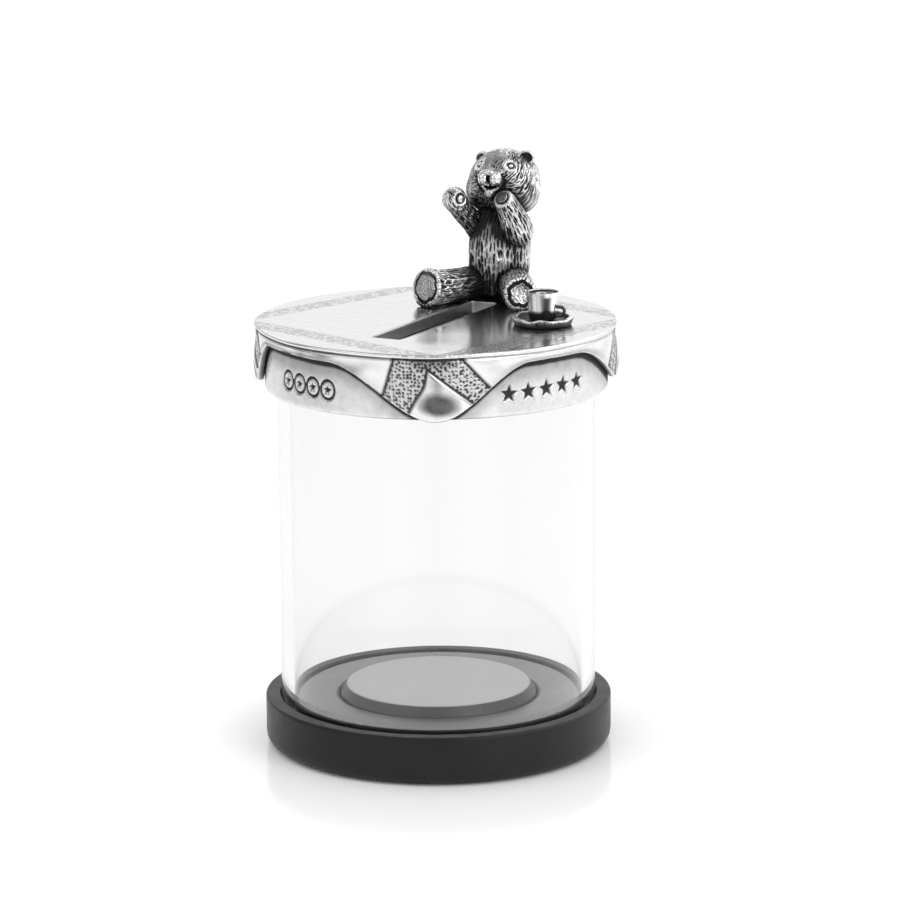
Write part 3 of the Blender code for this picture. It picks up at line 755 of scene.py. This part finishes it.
def limb(knots, radii, up, rows, columns, sole_fillet=None):
    """A limb: circles carried along a curve, with a round cap at its root and at its tip.

    With a sole_fillet the tip is flat instead, inside a quarter round of that size. Returns the
    points, and for each row the distance along the limb and the distance out from the tip's middle,
    and for each column its angle from the up direction.
    """
    middle = spline(knots, rows)
    radius = spline(np.asarray(radii, float)[:, None], rows)[:, 0]
    step = np.gradient(middle, axis=0)
    heading = step / np.linalg.norm(step, axis=1, keepdims=True)
    along = np.concatenate([[0.0], np.cumsum(np.linalg.norm(np.diff(middle, axis=0), axis=1))])
    arc = np.linspace(0.04, 1.0, 16) * QUARTER
    cap_low = (middle[0] - heading[0] * radius[0] * np.cos(arc)[:, None], radius[0] * np.sin(arc))
    if sole_fillet is None:
        cap_out, cap_radius = radius[-1] * np.sin(arc), radius[-1] * np.cos(arc) + 1e-3
    else:
        flat = np.linspace(1.0, 0.03, 44)
        cap_out = np.concatenate([sole_fillet * np.sin(arc), np.full(len(flat), sole_fillet)])
        rim = radius[-1] - sole_fillet
        cap_radius = np.concatenate([rim + sole_fillet * np.cos(arc), rim * flat])
    cap_high = middle[-1] + heading[-1] * cap_out[:, None]
    middles = np.concatenate([cap_low[0][:-1], middle, cap_high])
    spans = np.concatenate([cap_low[1][:-1], radius, cap_radius])
    low_count, high_count = len(arc) - 1, len(cap_out)
    root_headings = np.repeat(heading[:1], low_count, 0)
    headings = np.concatenate([root_headings, heading, np.repeat(heading[-1:], high_count, 0)])
    lengths = np.concatenate([
        -radius[0] * np.cos(arc)[:-1],
        along,
        along[-1] + cap_out + (rim - np.minimum(cap_radius, rim) if sole_fillet is not None else 0.0),
    ])
    side = np.cross(headings, up)
    side = side / np.linalg.norm(side, axis=1, keepdims=True)
    lift = np.cross(side, headings)
    angle = np.linspace(0.0, math.tau, columns, endpoint=False)
    ring_side, ring_up = np.sin(angle)[None, :, None], np.cos(angle)[None, :, None]
    points = middles[:, None] + spans[:, None, None] * (side[:, None] * ring_side + lift[:, None] * ring_up)
    in_sole = np.concatenate([np.zeros(low_count + rows), np.ones(high_count)])
    return points, lengths[:, None], spans[:, None], angle[None, :], in_sole[:, None]


SEAT = np.array([0.0, 30.8, LID_TOP / MM])
HEAD_MIDDLE = np.array([1.7, -0.4, 26.3])

# The bear's limbs from its seat, in mm: the knots of the middle line, and the radius at each
LIMBS = {
    "bear_torso": ([(0.0, 0.0, 4.0), (0.2, -0.1, 10.0), (0.8, -0.4, 18.5)], [6.6, 6.9, 5.0]),
    "bear_head": ([HEAD_MIDDLE, HEAD_MIDDLE + (0.0, -0.5, -0.5)], [7.7, 7.7]),
    "bear_right_arm": ([(-3.6, -0.4, 13.6), (-4.4, -3.6, 16.8), (-5.0, -7.6, 19.9), (-5.4, -11.4, 23.4)],
                       [3.1, 2.7, 2.5, 2.75]),
    "bear_left_arm": ([(4.0, 0.8, 16.8), (6.1, -2.8, 15.8), (6.3, -5.6, 19.2), (5.8, -8.3, 23.0)],
                      [3.2, 3.6, 3.1, 2.45]),
    "bear_right_leg": ([(-2.6, 0.4, 3.6), (-5.4, -8.0, 3.5), (-8.0, -16.6, 3.9), (-8.6, -18.4, 4.25)],
                       [3.9, 3.8, 4.1, 4.4]),
    "bear_left_leg": ([(2.8, 0.6, 3.6), (7.6, -6.4, 3.6), (11.2, -12.2, 3.4), (12.0, -13.4, 3.6)],
                      [3.9, 3.9, 3.7, 3.8]),
}


def hollow_shade(points, own):
    """How black the metal is made near each other limb and near the lid, from 0 to 1: it fades away from
    each other limb's surface and from the lid. This is partly the oxide that antique pewter keeps in its
    hollows and partly painted shade, an estimate of how little light reaches in there.
    """
    shade = 0.55 * np.exp(-np.maximum(points[..., 2], 0.0) / 1.5)
    for node, (knots, radii) in LIMBS.items():
        if node == own:
            continue
        middles = spline(knots, 14)
        spans = spline(np.asarray(radii)[:, None], 14)[:, 0]
        gaps = [np.linalg.norm(points - middle, axis=-1) - span for middle, span in zip(middles, spans)]
        shade = np.maximum(shade, np.exp(-np.maximum(np.min(gaps, axis=0), 0.0) / 2.1))
    return shade


def place_figure(name, points, depth, look, node, extra_tone=0.0, own=None):
    """Moves a figure's points inward along their normals by depth, in mm, and makes the piece.

    A cut is black at its bottom and polished between cuts, and the metal near other limbs and the lid
    is made black, partly as oxide and partly as painted shade.
    """
    sunk = points - normals_of(points) * depth[..., None]
    shade = hollow_shade(points, own or node)
    cloud = clouds(points[..., 0], points[..., 1], points[..., 2], 3.1, 2.0)
    tone = ease(0.05, 0.30, depth * (1.0 + 0.5 * cloud)) + 0.9 * shade**1.3 + 0.14 * cloud + extra_tone
    return piece_from_grid(name, (sunk + SEAT) * MM, look, "lid", [node] if node else (),
                           False, tone)


def ellipsoid_reach(ways, middle, radii):
    """Distance along each way from the origin to an ellipsoid's far side, or 0 where it misses."""
    scaled, offset = ways / radii, np.asarray(middle) / radii
    a = np.sum(scaled * scaled, axis=-1)
    b = np.sum(scaled * offset, axis=-1)
    under_root = b * b - a * (np.sum(offset * offset) - 1.0)
    reach = (b + np.sqrt(np.maximum(under_root, 0.0))) / a
    return np.where(under_root > 0.0, np.maximum(reach, 0.0), 0.0)


def soft_union(reaches, softness):
    """A smooth maximum of distances."""
    stack = np.stack(reaches) / softness
    peak = stack.max(axis=0)
    return softness * (peak + np.log(np.exp(stack - peak).sum(axis=0)))


def head_ways(rows, columns):
    """Directions on a sphere whose poles are the nose and the back of the head."""
    polar = (np.linspace(0.004, 0.996, rows) * math.pi)[:, None]
    angle = np.linspace(0.0, math.tau, columns, endpoint=False)[None, :]
    x = np.sin(polar) * np.sin(angle)
    z = np.sin(polar) * np.cos(angle)
    y = -np.cos(polar) + 0.0 * angle
    return np.stack([x, y, z], axis=-1), polar, angle


def away_from(ways, target):
    """Angle in degrees between each way and a target direction."""
    return np.degrees(np.arccos(np.clip(ways @ unit(target), -1.0, 1.0)))


EYES = ((-3.9, -4.9, 4.5), (3.9, -4.7, 4.4))
MUZZLE = np.array([0.0, -6.2, 1.5])


def make_head(look):
    """The head: a soft union of skull, cheeks, brow, muzzle lobes and jaw, cut with fur."""
    ways, polar, angle = head_ways(230, 380)
    shapes = (
        ((0.0, 0.0, 0.0), (8.2, 7.6, 7.1)),
        ((0.0, 0.3, 2.2), (6.9, 5.6, 5.1)),
        ((3.9, -1.0, -2.0), (4.8, 4.9, 5.0)),
        ((-3.9, -1.0, -2.0), (4.8, 4.9, 5.0)),
        ((0.0, -3.0, 2.9), (5.0, 3.9, 3.5)),
        (MUZZLE + (1.45, -0.3, 0.1), (1.6, 2.5, 2.0)),
        (MUZZLE + (-1.45, -0.3, 0.1), (1.6, 2.5, 2.0)),
        (MUZZLE + (0.0, 1.0, 0.6), (2.8, 2.5, 2.0)),
        ((-0.1, -5.2, -1.9), (2.0, 3.0, 1.9)),
    )
    reach = soft_union([ellipsoid_reach(ways, middle, radii) for middle, radii in shapes], 0.16)
    points = ways * reach[..., None]
    # Muzzle line, mouth, eye sockets, and the furrow round the muzzle
    x, z = points[..., 0], points[..., 2]
    in_front = ease(-6.0, -7.2, points[..., 1])
    parting = bell(x, 0.27) * ease(3.0, 2.0, z) * ease(-0.7, -0.3, z) * in_front
    mouth_height = -0.45 + 0.12 * x**2
    mouth = bell(z - mouth_height, 0.24) * ease(2.2, 1.3, np.abs(x)) * ease(-4.8, -6.2, points[..., 1])
    sockets = sum(bell(away_from(ways, eye), 5.6) for eye in EYES)
    lids = sum(bell(away_from(ways, eye) - 10.0, 3.2) for eye in EYES)
    from_muzzle = away_from(ways, MUZZLE + (0.0, 0.0, -0.4))
    furrow = bell(from_muzzle - 26.0, 4.0) * ease(3.2, 0.4, z)
    forehead = np.exp(-((away_from(ways, (0.2, -4.9, 5.2)) / 29.0) ** 4))
    cheek = ease(0.15, 0.75, ways @ np.array([0.90, -0.15, 0.05]))
    carving = 0.52 * parting + 1.0 * mouth + 0.55 * sockets + 0.25 * furrow - 0.15 * lids
    # Fur in lanes that run from the muzzle back over the skull, and bend down over the cheeks
    lanes, from_nose = 54.0, polar * 8.2
    sweep = 12.0 * np.sin(angle) * (polar - 0.55) ** 2
    lane = lanes * angle / math.tau + sweep
    fur = strokes(lane, from_nose / 1.5, lanes, 21.0, 0.46 - 0.12 * cheek, 0.9)
    fine = strokes(2.0 * lane, from_nose, 2.0 * lanes, 25.0, 0.42, 0.6)
    bare = np.maximum(ease(25.0, 20.0, from_muzzle), 0.7 * forehead)
    depth = 0.42 * fur * (1.0 - bare)
    depth = depth + 0.10 * fine * (1.0 - 0.6 * bare) * ease(14.0, 24.0, from_muzzle) + carving
    # Black in the cuts and furrow, darker forehead, lighter muzzle; painted shade darkens the -X side, away
    # from the key light
    hollow = 0.9 * ease(0.3, 1.0, carving) + 0.22 * furrow + 0.42 * forehead * (1.0 - lids)
    hollow = hollow + 0.03 * cheek + 0.10 - 0.45 * ease(22.0, 15.0, from_muzzle)
    hollow = hollow - 0.3 * lids + 0.10 * ease(0.1, -0.6, ways[..., 0])
    place_figure("head_fur", points + HEAD_MIDDLE, depth, look, "bear_head", hollow)


def blob(middle, radii, rows=40, columns=56):
    """An ellipsoid whose poles are at its front and back."""
    ways, _, _ = head_ways(rows, columns)
    return ways * np.asarray(radii, float) + np.asarray(middle, float)


def make_face(look):
    """Eyes, nose pad with two nostrils, and the lower lip, each a small polished casting."""
    for number, eye in enumerate(EYES):
        ball = blob(HEAD_MIDDLE + unit(eye) * 7.3, (0.60, 0.60, 0.48), 20, 28)
        place_figure(f"eye_{number}", ball, np.zeros(ball.shape[:2]), look, None, -0.3, "bear_head")
    nose = blob(HEAD_MIDDLE + MUZZLE + (0.0, -2.0, 1.6), (1.35, 0.9, 0.75))
    x = nose[..., 0] - HEAD_MIDDLE[0]
    z = nose[..., 2] - HEAD_MIDDLE[2] - MUZZLE[2] - 1.5
    front = ease(-7.6, -8.3, nose[..., 1] - HEAD_MIDDLE[1])
    nostrils = bell(np.abs(x) - 0.7, 0.26) * bell(z + 0.1, 0.36) * front
    cleft = bell(x, 0.20) * ease(0.6, -0.1, z) * front
    place_figure("nose", nose, 0.15 * nostrils + 0.10 * cleft, look, None, 0.0, "bear_head")
    lip = blob(HEAD_MIDDLE + (-0.2, -7.0, -1.75), (1.25, 1.25, 1.15))
    place_figure("lower_lip", lip, np.zeros(lip.shape[:2]), look, None, 0.05, "bear_head")


def make_ears(look):
    """Two cupped ears: a thick round shell, hollowed on its front, which is left black."""
    for name, at, radii, turn in (
        ("right_ear", (-5.2, 0.0, 4.6), (2.3, 1.4, 1.85), -0.35),
        ("left_ear", (5.3, -0.1, 5.7), (2.0, 1.4, 1.7), 0.45),
    ):
        ways, polar, angle = head_ways(90, 130)
        shell = ways * radii
        inside = ease(0.95, 0.5, polar) + 0.0 * angle
        shell[..., 1] += inside * 1.35
        fur = strokes(26.0 * angle / math.tau, polar * 1.4, 26.0, 31.0)
        depth = 0.18 * fur * ease(0.9, 1.2, polar)
        turned_x = shell[..., 0] * math.cos(turn) - shell[..., 1] * math.sin(turn)
        turned_y = shell[..., 0] * math.sin(turn) + shell[..., 1] * math.cos(turn)
        points = np.stack([turned_x, turned_y, shell[..., 2]], axis=-1) + HEAD_MIDDLE + at
        place_figure(name, points, depth, look, None, 0.95 * inside, "bear_head")


def make_torso(look):
    """The trunk: ovals up a leaning axis, with a belly, cut with long upright strokes."""
    rows, columns = 250, 330
    height = np.linspace(0.0, 1.0, rows)
    z = 0.05 + 22.4 * height
    knots = np.array([(0.0, 3.0), (0.03, 5.2), (0.10, 6.1), (0.30, 6.95), (0.52, 7.1), (0.72, 6.6),
                      (0.88, 5.3), (0.97, 3.4), (1.0, 1.2)])
    radius = np.interp(height, knots[:, 0], knots[:, 1])
    kernel = np.hanning(17) / np.hanning(17).sum()
    radius = np.convolve(np.pad(radius, 8, mode="edge"), kernel, mode="valid")
    angle = np.linspace(0.0, math.tau, columns, endpoint=False)[None, :]
    lean_x, lean_y = 0.9 * height**2, -0.5 * height**2
    x = lean_x[:, None] + radius[:, None] * np.cos(angle)
    y = lean_y[:, None] + radius[:, None] * 0.96 * np.sin(angle)
    points = np.stack([x, y, np.broadcast_to(z[:, None], x.shape)], axis=-1)
    lanes = 46.0
    bend = 0.25 * clouds(x, y, z[:, None], 4.0, 6.0)
    lane = lanes * angle / math.tau + bend
    fur = strokes(lane, z[:, None] / 2.4, lanes, 41.0, 0.44, 0.3)
    fine = strokes(2.0 * lane, z[:, None] / 1.5, 2.0 * lanes, 45.0, 0.45)
    # Painted shade: darker towards the bottom by the lid, on the -X side away from the key light, and on
    # the upper front under the chin and arms
    dull_and_painted_shade = 0.45 * ease(8.0, 1.5, z)[:, None] + 0.30 * ease(0.2, -0.8, np.cos(angle + 0.48))
    dull_and_painted_shade = dull_and_painted_shade + 0.55 * ease(12.5, 15.5, z)[:, None] * ease(0.2, -0.7, np.sin(angle))
    place_figure("torso_fur", points, 0.42 * fur + 0.08 * fine, look, "bear_torso", dull_and_painted_shade)


def make_arms(look):
    """Both arms: fur along the limb, and a smooth oval pad with a black ring on the palm."""
    for name, node, up, lanes, palm, palm_size, pad_tone, seed in (
        ("right_arm_fur", "bear_right_arm", (-1.0, 0.0, 0.0), 23.0, (0.92, -0.42, 0.12), 0.95, -0.1, 51.0),
        ("left_arm_fur", "bear_left_arm", (1.0, 0.2, 0.0), 25.0, (-0.05, -0.80, 0.62), 1.30, 0.62, 61.0),
    ):
        knots, radii = LIMBS[node]
        points, along, _, angle, _ = limb(knots, radii, up, 190, 240)
        lane = lanes * angle / math.tau
        fur = strokes(lane, along / 2.3, lanes, seed, 0.45)
        fine = strokes(2.0 * lane, along / 1.4, 2.0 * lanes, seed + 7.0, 0.45)
        spot = np.asarray(knots[-1], float) + unit(palm) * radii[-1]
        away = np.linalg.norm(points - spot, axis=-1)
        pad = ease(palm_size * 1.1, palm_size * 0.8, away)
        ring = bell(away - palm_size * 1.25, 0.26)
        rim = bell(away - palm_size * 1.25 - 0.75, 0.30)
        furred = 1.0 - ease(palm_size * 2.2, palm_size * 1.6, away)
        depth = (0.38 * fur + 0.10 * fine) * furred + 0.45 * ring - 0.12 * rim
        # Painted shade: darker where the arm's surface faces down, on its underside
        painted_underside_shade = 0.45 * ease(0.1, -0.8, np.sum(normals_of(points) * (0.3, -0.3, 0.9), axis=-1))
        place_figure(name, points, depth, look, node, pad_tone * pad - 0.2 * rim + painted_underside_shade + 0.08)


def make_legs(look):
    """Both legs: fur along the limb, and a sole with a raised rim, a black ring and a punched pad."""
    for name, node, lanes, seed, sole_tone, sole_patch in (
        ("right_leg_fur", "bear_right_leg", 25.0, 71.0, 0.38, 0.15),
        ("left_leg_fur", "bear_left_leg", 25.0, 81.0, 0.50, 0.95),
    ):
        knots, radii = LIMBS[node]
        points, along, out, angle, in_sole = limb(knots, radii, (0.0, 0.0, 1.0), 150, 300, 0.7)
        lane = lanes * angle / math.tau
        fur = strokes(lane, along / 2.6, lanes, seed, 0.46)
        fine = strokes(2.0 * lane, along / 1.4, 2.0 * lanes, seed + 7.0, 0.45)
        rim = radii[-1] - 0.7
        across, up = out * np.sin(angle), out * np.cos(angle)
        uneven = out + 0.14 * np.sin(5.0 * angle + seed) + 0.10 * np.sin(9.0 * angle)
        ring = ease(rim + 0.05, rim - 0.25, uneven) * ease(rim - 1.0, rim - 0.7, uneven) * in_sole
        in_pad = ease(rim - 0.8, rim - 1.1, uneven) * in_sole
        punched = pits(across, up, 0.75, seed + 3.0, 0.42) * in_pad
        turned_rings = (0.5 + 0.5 * np.cos(uneven * 7.5)) * ease(rim - 0.9, rim - 1.2, uneven) * in_sole
        notches = strokes(30.0 * angle / math.tau, 0.3, 30.0, seed + 5.0)
        notches = notches * in_sole * ease(rim - 0.4, rim, uneven)
        depth = (0.26 * fur + 0.10 * fine) * (1.0 - in_sole) + 0.50 * ring + 0.08 * punched + 0.20 * notches
        depth = depth + 0.09 * turned_rings
        height = points[..., 2]
        points[..., 2] = np.maximum(height, 0.03 + 0.02 * (height - height.min()))
        # Darker all over; painted shade on the underside, and a painted highlight band about 2.4 mm from
        # the sole
        from_sole = (along * (1.0 - in_sole)).max() - along
        painted_highlight_near_sole = ease(4.2, 1.5, np.abs(from_sole - 2.4))
        dull_and_painted_shade = (1.0 - in_sole) * (0.48 + 0.30 * ease(0.5, -0.6, np.cos(angle)) - 0.45 * painted_highlight_near_sole)
        patches = sole_tone + sole_patch * clouds(across, up, 0.0, 2.2, seed)
        dull_and_painted_shade = dull_and_painted_shade - 0.12 * ring + in_pad * patches
        place_figure(name, points, depth, look, node, dull_and_painted_shade)


def tea_middle():
    """The middle of the saucer and of the cup, in mm."""
    middle = (SAUCER_LOW + SAUCER_HIGH) / 2.0
    return np.array([middle.x, middle.y]) / MM


def make_saucer(look):
    """The saucer: turned, with a raised edge that waves up and down and in and out."""
    at, top = tea_middle(), LID_TOP / MM
    angle = np.linspace(0.0, math.tau, TEA_SIDES, endpoint=False)
    section = filleted([
        (0.3, top + 0.02, 0.1), (6.2, top + 0.02, 0.3), (6.85, top + 1.75, 0.35), (5.9, top + 1.75, 0.3),
        (5.3, top + 0.95, 0.3), (0.3, top + 0.85, 0.1),
    ])
    points = turned(section, TEA_SIDES, at)
    level = np.clip((points[..., 2] - top) / 1.8, 0.0, 1.0)
    points[..., 2] += level * (0.16 * np.sin(angle * 5.0 + 0.7) + 0.10 * np.sin(angle * 9.0))
    swell = 1.0 + 0.015 * level * np.sin(angle * 6.0)
    points[..., :2] = at + (points[..., :2] - at) * swell[..., None]
    away = from_axis(points, at)
    tone = ease(6.15, 5.7, away) * ease(0.2, 0.6, level) + ease(0.86, 0.62, level) * ease(5.4, 5.9, away)
    tone = tone + 0.6 * pits(angle * 7.0, points[..., 2], 0.9, 91.0, 0.25) * ease(5.9, 6.3, away)
    piece_from_grid("saucer_wavy", points * MM, look, "lid", ["saucer"], False, tone)


def make_cup(look):
    """The cup: turned and polished, black inside, with a swirl on its tea and a painted dark reflection on
    one side outside.
    """
    at, top, rim = tea_middle(), LID_TOP / MM, CUP_HIGH.z / MM
    angle = np.linspace(0.0, math.tau, TEA_SIDES, endpoint=False)
    section = filleted([
        (0.2, top + 1.0, 0.1), (2.95, top + 1.0, 0.5), (3.55, rim, 0.16), (3.18, rim, 0.16),
        (3.0, rim - 0.5, 0.15), (0.2, rim - 0.5, 0.1),
    ])
    # More rows on the outer wall, and on the tea in place of the last corner's seven points
    wall = int(np.argmax(np.diff(section[:, 1]))) + 1
    outside = between(section[wall - 1], section[wall], 30)
    tea = between(np.array([2.85, rim - 0.5]), np.array([0.35, rim - 0.5]), 38)
    section = np.concatenate([section[:wall], outside, section[wall:-7], tea])
    points = turned(section, TEA_SIDES, at)
    away = from_axis(points, at)
    inside = ease(rim - 0.2, rim - 0.48, points[..., 2]) * ease(3.05, 2.9, away)
    swirl = 0.5 + 0.5 * np.cos(angle - away * 2.6)
    points[..., 2] += inside * (0.25 * swirl - 0.05)
    height = points[..., 2]
    tone = inside * (0.95 - 0.95 * swirl * ease(2.5, 2.1, away))
    tone = tone + ease(rim - 0.05, rim - 0.2, height) * ease(3.2, 3.1, away) * ease(2.5, 2.7, away)
    # Painted reflection: a dark upright stripe on one side of the outer wall
    round_side = np.arctan2(points[..., 1] - at[1], points[..., 0] - at[0])
    painted_reflection_side = np.exp(-(((round_side + 0.86) / 0.30) ** 4))
    tone = tone + 0.92 * painted_reflection_side * ease(rim - 0.5, rim - 1.2, height) * ease(2.6, 2.9, away)
    piece_from_grid("cup_polished", points * MM, look, "lid", ["cup"], False, tone)


def make_cup_handle(look):
    """The cup's handle: a round wire bent into a D, on the side away from the bear."""
    turn = math.radians(12.0)
    way = np.array([math.cos(turn), math.sin(turn), 0.0])
    root = np.array([*tea_middle(), LID_TOP / MM]) + way * 2.75
    knots = [root + way * out + (0.0, 0.0, up)
             for out, up in ((0.0, 3.9), (1.6, 3.8), (2.1, 3.0), (1.4, 2.1), (-0.1, 2.0))]
    points = limb(knots, [0.38] * len(knots), np.cross(way, (0, 0, 1)), 60, 28)[0]
    black = np.full(points.shape[:2], 0.9)
    piece_from_grid("cup_handle", points * MM, look, "lid", patina_and_painted_light=black)


# Stage


def make_stage():
    """A plain white floor and soft white light all round."""
    size = 3.0
    corners = [(-size, -size, 0), (size, -size, 0), (size, size, 0), (-size, size, 0)]
    floor = bpy.data.meshes.new("floor")
    floor.from_pydata(corners, [], [(0, 1, 2, 3)])
    look, _, shader = new_look("white_floor")
    shader.inputs["Base Color"].default_value = (0.97, 0.97, 0.97, 1.0)
    shader.inputs["Roughness"].default_value = 0.16
    shader.inputs["Specular IOR Level"].default_value = 0.3
    floor.materials.append(look)
    ground = add_object("floor", floor)

    world = bpy.data.worlds.new("studio")
    world.use_nodes = True
    sky = world.node_tree.nodes["Background"]
    sky.inputs["Color"].default_value = (1.0, 1.0, 1.0, 1.0)
    sky.inputs["Strength"].default_value = 1.09
    bpy.context.scene.world = world

    lamps = (
        ("key_softbox", (0.75, -0.25, 0.60), (0.4, 0.6), 2.0),
        ("fill_softbox", (-0.60, -0.60, 0.70), (0.6, 0.6), 1.0),
    )
    aim = np.array([0.0, 0.0, 0.07])
    for name, at, sides, power in lamps:
        lamp = bpy.data.lights.new(name, "AREA")
        lamp.shape = "RECTANGLE"
        lamp.size, lamp.size_y = sides
        lamp.energy = power
        light = add_object(name, lamp)
        light.location = at
        light.rotation_euler = pointed(np.array(at), aim)
    make_dome()


def make_dome():
    """The studio as polished metal sees it: a large sphere, bright low down behind the object.

    Its brightness is a sum of smooth bumps over side (the angle round from the camera, positive to
    the camera's right) and height (the angle above the horizon). Only glossy rays meet it.
    """
    rows, columns, size = 90, 180, 6.0
    height = (np.linspace(-0.499, 0.499, rows) * math.pi)[:, None]
    side = np.linspace(-math.pi, math.pi, columns, endpoint=False)[None, :]
    around = side + FRONT_CORNER
    x, y = np.cos(height) * np.cos(around), np.cos(height) * np.sin(around)
    points = size * np.stack([x, y, np.broadcast_to(np.sin(height), x.shape)], axis=-1)
    side, height = np.degrees(side), np.degrees(height)
    light = 1.0 - 0.72 * ease(25.0, 42.0, height) * ease(88.0, 70.0, height)
    light = light * (1.0 + 0.35 * ease(20.0, 30.0, height))
    # Dark cards and bright lamps: strength, side, height, width and how tall, in degrees
    for strength, at_side, at_height, wide, tall in (
        (-0.55, 55.0, 8.0, 10.0, 40.0),
        (-0.80, -95.0, 10.0, 42.0, 40.0),
        (-0.85, 0.0, 12.0, 15.0, 26.0),
        (2.4, 95.0, 36.0, 32.0, 18.0),
        (2.0, -25.0, 62.0, 30.0, 14.0),
        (1.4, 35.0, 40.0, 12.0, 18.0),
        (0.5, 180.0, 44.0, 75.0, 17.0),
    ):
        turn = np.mod(side - at_side + 180.0, 360.0) - 180.0
        light = light + strength * bell(turn, wide) * bell(height - at_height, tall)
    mesh = bpy.data.meshes.new("studio_dome")
    mesh.from_pydata(points.reshape(-1, 3).tolist(), [], grid_faces(rows, columns, False)[:, ::-1].tolist())
    glow = mesh.attributes.new("light", "FLOAT", "POINT")
    glow.data.foreach_set("value", np.maximum(light, 0.02).astype(np.float32).reshape(-1))
    look = bpy.data.materials.new("studio_light")
    look.use_nodes = True
    tree = look.node_tree
    tree.nodes.clear()
    shining = add_node(tree, "ShaderNodeEmission", {"Strength": attribute(tree, "light")})
    add_node(tree, "ShaderNodeOutputMaterial", {"Surface": shining.outputs["Emission"]})
    mesh.materials.append(look)
    mesh.shade_smooth()
    dome = add_object("studio_dome", mesh)
    dome.visible_camera = False
    dome.visible_diffuse = False
    dome.visible_transmission = False
    dome.visible_volume_scatter = False
    dome.visible_shadow = False


def pointed(place, aim):
    """The turn that points an object's -Z from place to aim."""
    return Vector(aim - place).to_track_quat("-Z", "Y").to_euler()


def make_camera():
    """A long lens, a little above the lid, that looks down by 12.7 degrees."""
    camera_data = bpy.data.cameras.new("camera")
    camera_data.lens = 161.55
    camera_data.sensor_width = 36.0
    camera_data.clip_end = 20.0
    camera = add_object("camera", camera_data)
    camera.location = (0.4041, -0.7699, 0.2620)
    heading = math.atan2(0.4618, 0.8870)
    camera.rotation_mode = "XYZ"
    camera.rotation_euler = (QUARTER - 0.2220, 0.0, heading)
    camera.rotation_euler.rotate_axis("Z", math.radians(-0.355))
    bpy.context.scene.camera = camera


make_camera()
make_stage()
make_base(satin_black("satin_black_base", 0.006, 0.40, 0.010, gloss=0.28))
# The jar floor ring's grey of 0.10, against the base's 0.006, is painted light on its top face
make_jar_floor(satin_black("polished_and_lit_black_base", 0.10, 0.30, 0.008, 0.01, 1.0))
make_glass(clear_glass())
make_stopper(satin_black("black_rubber", 0.02, 0.34, 0.01, 0.01, 0.25, lit_grey=0.50))
restyle("base_pad", satin_black("black_foam", 0.03, 0.85, bump_strength=0.4))
restyle("glass_seat_ring", satin_black("grey_silicone", 0.20, 0.5))
restyle("lid_seal_ring", satin_black("clear_silicone", 0.45, 0.45))
restyle("lid_collar", satin_black("black_plastic", 0.02, 0.45))
make_cloth(pewter("cloth_pewter", (0.83, 0.83, 0.83), (0.030, 0.030, 0.031), 0.15, 0.55, 0.10, laced=True))
make_band(pewter("band_pewter", (0.80, 0.80, 0.80), (0.025, 0.025, 0.026), 0.22, 0.6, 0.14))
figure_look = pewter("bear_pewter", (0.82, 0.82, 0.82), (0.012, 0.012, 0.013), 0.17, 0.45, 0.15)
for make_part in (make_head, make_face, make_ears, make_torso, make_arms, make_legs):
    make_part(figure_look)
tea_look = pewter("cup_pewter", (0.80, 0.80, 0.80), (0.012, 0.012, 0.013), 0.12, 0.5, 0.05, 0.02)
for make_part in (make_saucer, make_cup, make_cup_handle):
    make_part(tea_look)

bpy.context.scene.view_settings.view_transform = "Standard"
